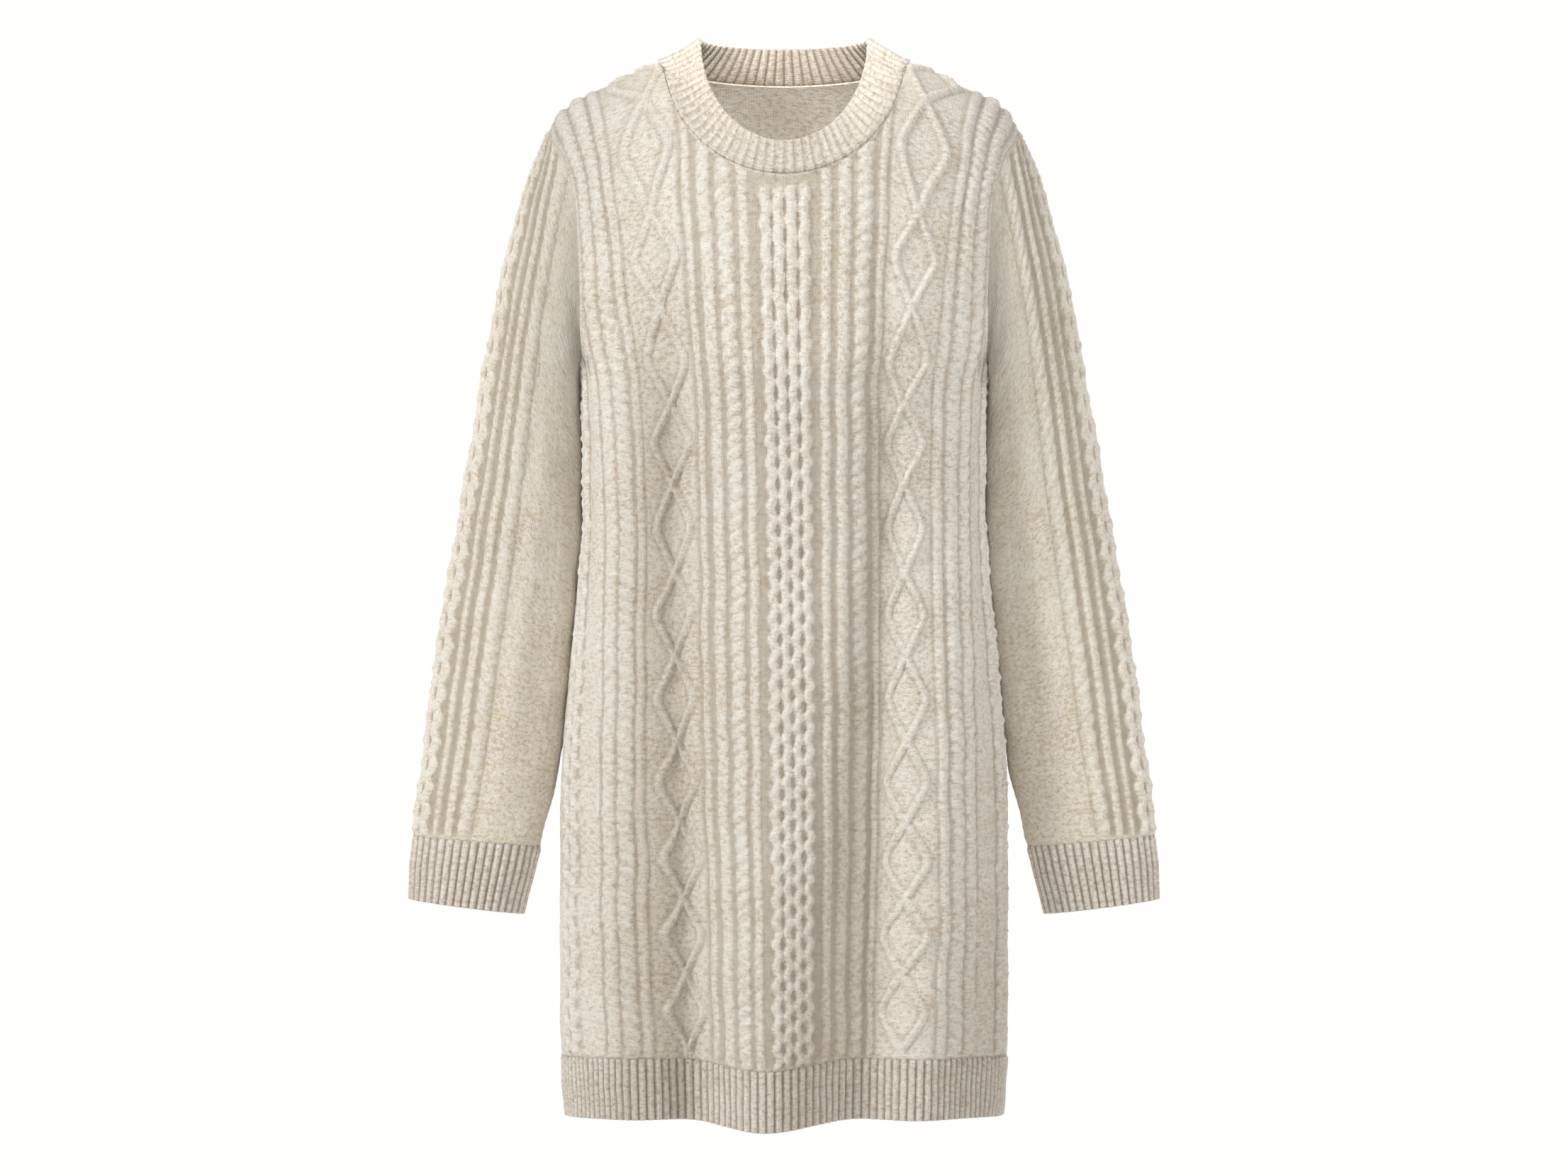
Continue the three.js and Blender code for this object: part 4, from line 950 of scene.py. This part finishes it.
def neck_surface(along, share):
    """Straight from the seam to the free edge, with a bulge of 2 mm half way, 4 * s * (1 - s)."""
    front_share = NECK_FRONT_RIBS / (NECK_FRONT_RIBS + NECK_BACK_RIBS)
    row = along[0]
    ring_front = neck_lines(-1, np.clip(row / front_share, 0, 1))
    ring_back = neck_lines(1, np.clip((1 - row) / (1 - front_share), 0, 1))
    in_front = (row < front_share)[:, None]
    seam, free = (np.where(in_front, a, b) for a, b in zip(ring_front, ring_back))
    reach = free - seam
    around = np.roll(seam + free, -1, 0) - np.roll(seam + free, 1, 0)
    normals = unit(np.cross(reach, around))
    share = share[..., None]
    base = seam + reach * share + normals * NECK_BULGE * 4 * share * (1 - share)
    lean = unit(np.cross(reach + normals * NECK_BULGE * 4 * (1 - 2 * share), around))
    return base, lean, NECK_LENGTH


neck_ribs = NECK_FRONT_RIBS + NECK_BACK_RIBS
pieces["neck_rib"] = make_band("neck_rib_knit", neck_surface, NECK_DEPTH, neck_ribs, True, True,
                               turned_in=True)
band_size["neck_rib"] = (NECK_LENGTH, NECK_DEPTH)
print("neck_rib", triangle_count(pieces["neck_rib"]), "triangles, corner at", round(CORNER, 1))

# %% [markdown]
# ## Shader maths as Python
#
# Node trees are easier to read as formulas. This class wraps a node's output, and each operator
# adds a Math node. Any other node comes from one method, which sets the node's options first and
# then its inputs.

# %% Node helpers
class Value:
    """The output of a shader node, which Python can calculate with."""

    def __init__(self, tree, link):
        self.tree, self.link = tree, link

    def node(self, kind, settings=None, output=0, **inputs):
        """Adds a node: its settings first, then the values or links of its sockets."""
        made = self.tree.nodes.new("ShaderNode" + kind)
        for key, setting in (settings or {}).items():
            if key == "stops":
                while len(made.color_ramp.elements) < len(setting):
                    made.color_ramp.elements.new(0.5)
                for stop, (place, color) in zip(made.color_ramp.elements, setting):
                    stop.position, stop.color = place, (*color, 1.0)
            else:
                setattr(made, key, setting)
        for key, value in inputs.items():
            socket = made.inputs[int(key[1:])] if key[1:].isdigit() else made.inputs[key.replace("_", " ")]
            if isinstance(value, Value):
                self.tree.links.new(value.link, socket)
            else:
                socket.default_value = value
        return Value(self.tree, made.outputs[output])

    def math(self, operation, *values):
        """Adds a Math node."""
        return self.node("Math", {"operation": operation}, **{f"i{i}": v for i, v in enumerate(values)})

    def __add__(self, other):
        return self.math("ADD", self, other)

    def __radd__(self, other):
        return self.math("ADD", other, self)

    def __sub__(self, other):
        return self.math("SUBTRACT", self, other)

    def __rsub__(self, other):
        return self.math("SUBTRACT", other, self)

    def __mul__(self, other):
        return self.math("MULTIPLY", self, other)

    def __rmul__(self, other):
        return self.math("MULTIPLY", other, self)

    def ramp(self, low, high):
        """0 to 1 between low and high."""
        return self.node("MapRange", {"clamp": True}, i0=self, i1=low, i2=high)

    def mix(self, first, second):
        """Mixes two colours by this value."""
        return self.node("Mix", {"data_type": "RGBA"}, output=2, i0=self, i6=first, i7=second)


print("node helpers ready")

# %% [markdown]
# ## Marl wool
#
# The yarn is spun from cream, oatmeal and tan fibres, so its colour changes along each row of
# stitches: short level streaks, finer flecks in them, and faint broad clouds. The pattern reads the
# piece's UV map, which is laid out in metres along the knitting, so it turns with the sleeves and
# never stretches. Gaps between ridges are painted darker and warmer as shade, and crests and the
# side columns are painted whiter as highlight. Folds, the skirt and the hidden faces of rib bands get
# more painted shade. Stitches and fuzz are too small for the mesh and are bump: columns of stitches
# 1.8 mm apart crossed by rows 1.3 mm apart, with pinholes in the gaps, sunk by bump and painted dark
# as shade.

# %% Knit material
def linear(red, green, blue):
    """A colour given as 0 to 255, as light: ((c + 0.055) / 1.055) ^ 2.4."""
    return tuple(((c / 255 + 0.055) / 1.055) ** 2.4 for c in (red, green, blue))


# how dark the painted shade in the stitch holes is
HOLE_SHADE = 0.5
# colour and strength of the painted shade of folds, skirt and hidden band faces
FOLD_SHADE_COLOR, FOLD_SHADE_SHARE = (0.55, 0.51, 0.46, 1.0), 0.55
BUMP_DISTANCE = 0.0009


def knit_material(name, yarns, gap_shade_rgb, gap_shade_share, wale, course, bump):
    """A brushed marl wool in three yarn colours, with warm patches and white wisps, painted shade in
    its gaps, holes and folds, a painted highlight on its crests, and its stitches as bump. Wale and
    course are the width of a column and the height of a row in metres."""
    cream, oat, tan, warm_color, wisp_and_highlight_color = (linear(*yarn) for yarn in yarns)
    gap_shade_color = linear(*gap_shade_rgb)
    material = bpy.data.materials.new(name)
    material.use_nodes = True
    tree = material.node_tree
    shader = tree.nodes["Principled BSDF"]
    uv = Value(tree, None).node("UVMap", {"uv_map": "knit"})
    parts = uv.node("SeparateXYZ", i0=uv)
    across, up = parts, Value(tree, parts.link.node.outputs[1])
    tone = uv.node("Attribute", {"attribute_name": "tone"}, output=2)

    def noise(scale_u, scale_v, detail, shift):
        """Noise stretched by its own scales along and up the knitting."""
        place = uv.node("CombineXYZ", i0=across * scale_u, i1=up * scale_v, i2=shift)
        return uv.node("TexNoise", {"noise_dimensions": "3D"}, Vector=place, Scale=1.0, Detail=detail,
                       Roughness=0.55)

    tufts = noise(260.0, 360.0, 3.0, 1.0)
    flecks = noise(640.0, 1000.0, 3.0, 5.0)
    clouds = noise(13.0, 17.0, 2.0, 9.0)
    shade = tufts * 0.52 + flecks * 0.38 + clouds * 0.16
    marl = shade.node("ValToRGB", {"stops": [(0.43, tan), (0.52, oat), (0.61, cream)]}, Fac=shade)
    warm = noise(75.0, 120.0, 3.0, 17.0).ramp(0.55, 0.72)
    wisps = noise(120.0, 190.0, 4.0, 23.0).ramp(0.48, 0.70)
    marl = (warm * 0.5).mix(marl, (*warm_color, 1.0))
    marl = (wisps * 0.45).mix(marl, (*wisp_and_highlight_color, 1.0))
    # painted shade in the gaps and a painted highlight on the crests, read from the relief attribute
    in_gap, on_crest = tone.ramp(0.0, 1.0), tone.ramp(0.0, -1.0)
    gap_shaded = (in_gap * (gap_shade_share + 0.5 * flecks)).mix(marl, (*gap_shade_color, 1.0))
    crest_highlighted = (on_crest * (0.1 + 0.4 * tufts)).mix(gap_shaded, (*wisp_and_highlight_color, 1.0))
    turn_u, turn_v = across * (2 * math.pi / wale), up * (2 * math.pi / course)
    columns, rows = turn_u.math("SINE", turn_u), turn_v.math("SINE", turn_v)
    legs = turn_v.math("SINE", turn_v + columns * 1.5)
    holes = (columns * rows).ramp(0.25, 0.85)
    # painted shade in the stitch holes of the gaps
    hole_shaded = (holes * in_gap * 0.8).mix(crest_highlighted, (*[c * HOLE_SHADE for c in gap_shade_color], 1.0))
    # painted shade of the folds, the skirt and the hidden faces of bands, multiplied into the colour
    fold = uv.node("Attribute", {"attribute_name": "fold"}, output=2)
    with_fold_shade = uv.node("Mix", {"data_type": "RGBA", "blend_type": "MULTIPLY"}, output=2,
                   i0=fold.ramp(0.0, 1.0) * FOLD_SHADE_SHARE, i6=hole_shaded, i7=FOLD_SHADE_COLOR)
    tree.links.new(with_fold_shade.link, shader.inputs["Base Color"])
    fuzz = noise(800.0, 1000.0, 3.0, 13.0)
    height = legs * 0.2 + columns * 0.16 - holes * in_gap * 1.1 + fuzz * 1.6 + tufts * 1.5
    relief = uv.node("Bump", Strength=bump, Distance=BUMP_DISTANCE, Height=height)
    tree.links.new(relief.link, shader.inputs["Normal"])
    rough = 0.86 + 0.12 * flecks
    tree.links.new(rough.link, shader.inputs["Roughness"])
    shader.inputs["Specular IOR Level"].default_value = 0.18
    shader.inputs["Sheen Weight"].default_value = 0.35
    shader.inputs["Sheen Roughness"].default_value = 0.55
    shader.inputs["Sheen Tint"].default_value = (1.0, 0.96, 0.9, 1.0)
    return material


# cream, oatmeal, tan, the warm patches, and the white of the wisps and of the painted highlight on crests
PANEL_YARNS = [(238, 232, 223), (226, 216, 202), (198, 180, 158), (204, 178, 148), (243, 239, 233)]
SLEEVE_YARNS = [(243, 236, 224), (234, 223, 205), (208, 189, 162), (208, 183, 147), (247, 243, 236)]
RIB_YARNS = [(235, 228, 218), (220, 210, 197), (190, 173, 153), (192, 168, 142), (240, 235, 227)]
# slot, then the material's name, yarns, colour and strength of the painted shade in the gaps, wale, course
# and bump
WOOLS = [
    ("panel_knit", "panel_wool", PANEL_YARNS, (192, 174, 152), 0.2, 0.0018, 0.0013, 0.8),
    ("sleeve_knit", "sleeve_wool", SLEEVE_YARNS, (188, 168, 141), 0.2, 0.0018, 0.0013, 0.9),
    ("rib_knit", "rib_wool", RIB_YARNS, (138, 120, 100), 0.45, 0.0021, 0.0016, 0.8),
]
materials = {slot: knit_material(*numbers) for slot, *numbers in WOOLS}
print("materials:", list(materials))

# %% [markdown]
# ## Dressing the frame
#
# Every piece takes the place of its own solid and rides on the one body. The size of each cut is
# the plain wall's own area, without the relief of the cables.

# %% Pieces and slots
SLOTS = {name: "rib_knit" for name in band_size}
SLOTS.update({name: "panel_knit" for name in panel_area})
SLOTS.update({name: "sleeve_knit" for name in sleeve_area})

for name, piece in pieces.items():
    piece.data.materials.append(materials[SLOTS[name]])
    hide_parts(name)
    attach(piece, "root")

# width and length of each cut in metres, measured along the plain walls
for name, area in panel_area.items():
    round(area / 1e6, 4)
for name, area in sleeve_area.items():
    round(area / 1e6, 4)
for name, (width, depth) in band_size.items():
    width * MM
    depth * MM
print("triangles in all:", sum(triangle_count(piece) for piece in pieces.values()))

# %% [markdown]
# ## Floor and light
#
# The photograph is a cut-out on white under soft light from the front left. A large soft key stands
# there and rakes across the cables. A fill stands on the right, one light near the camera, and two
# behind keep the back readable. A warm spot shines from above the camera into the neck. The sky
# lights the dress faintly, while the camera sees it as white. The floor is plain and lies well below
# the hem, since the dress hangs.

# %% Floor
floor_mesh = bpy.data.meshes.new("floor")
FLOOR_REACH, FLOOR_HEIGHT = 2.4, -1.25
corners = [(-1, -1), (1, -1), (1, 1), (-1, 1)]
floor_mesh.from_pydata([(x * FLOOR_REACH, y * FLOOR_REACH, FLOOR_HEIGHT) for x, y in corners], [],
                       [(0, 1, 2, 3)])
floor = bpy.data.objects.new("floor", floor_mesh)
bpy.context.scene.collection.objects.link(floor)
floor_material = bpy.data.materials.new("pale_floor")
floor_material.use_nodes = True
floor_shader = floor_material.node_tree.nodes["Principled BSDF"]
floor_shader.inputs["Base Color"].default_value = (0.82, 0.82, 0.81, 1.0)
floor_shader.inputs["Roughness"].default_value = 0.8
floor_mesh.materials.append(floor_material)
print("floor", 2 * FLOOR_REACH, "m wide")

# %% Light
def add_light(name, place, target, size, power):
    """A square soft light at a place, aimed at a target, both in metres."""
    data = bpy.data.lights.new(name, "AREA")
    data.size, data.energy = size, power
    light = bpy.data.objects.new(name, data)
    light.location = place
    aim = np.array(target) - np.array(place)
    flat = math.hypot(aim[0], aim[1])
    light.rotation_euler = (math.pi / 2 + math.atan2(aim[2], flat), 0.0, math.atan2(-aim[0], aim[1]))
    bpy.context.scene.collection.objects.link(light)


add_light("key", (-3.0, -1.9, 1.9), (0.0, 0.0, -0.25), 1.2, 117.0)
add_light("front", (0.2, -3.9, 1.1), (0.0, 0.0, -0.3), 1.5, 54.0)
add_light("fill", (3.2, -1.7, 1.8), (0.0, 0.0, -0.25), 1.2, 61.0)
add_light("back_right", (2.4, 3.2, 1.3), (0.0, 0.0, -0.35), 1.5, 84.0)
add_light("back_left", (-2.6, 3.0, 1.1), (0.0, 0.0, -0.35), 1.5, 62.0)

spot = bpy.data.lights.new("neck", "SPOT")
spot.energy, spot.spot_size, spot.spot_blend, spot.shadow_soft_size = 250.0, math.radians(5.6), 0.8, 0.05
spot.color = (1.0, 0.93, 0.83)
neck_light = bpy.data.objects.new("neck_light", spot)
neck_light.location = (0.0, -2.2, 1.7)
NECK_BEAM_DROP, NECK_BEAM_REACH = 1.73, 2.3
neck_light.rotation_euler = (math.pi / 2 - math.atan2(NECK_BEAM_DROP, NECK_BEAM_REACH), 0.0, 0.0)
bpy.context.scene.collection.objects.link(neck_light)

world = bpy.data.worlds.new("studio")
bpy.context.scene.world = world
world.use_nodes = True
sky = world.node_tree.nodes["Background"]
sky.inputs["Color"].default_value = (1.0, 0.995, 0.985, 1.0)
SKY_LIGHT = 0.22
seen_by_camera = Value(world.node_tree, None).node("LightPath")
strength = seen_by_camera * (1 - SKY_LIGHT) + SKY_LIGHT
world.node_tree.links.new(strength.link, sky.inputs["Strength"])
bpy.context.scene.view_settings.view_transform = "Standard"
print("lights ready")
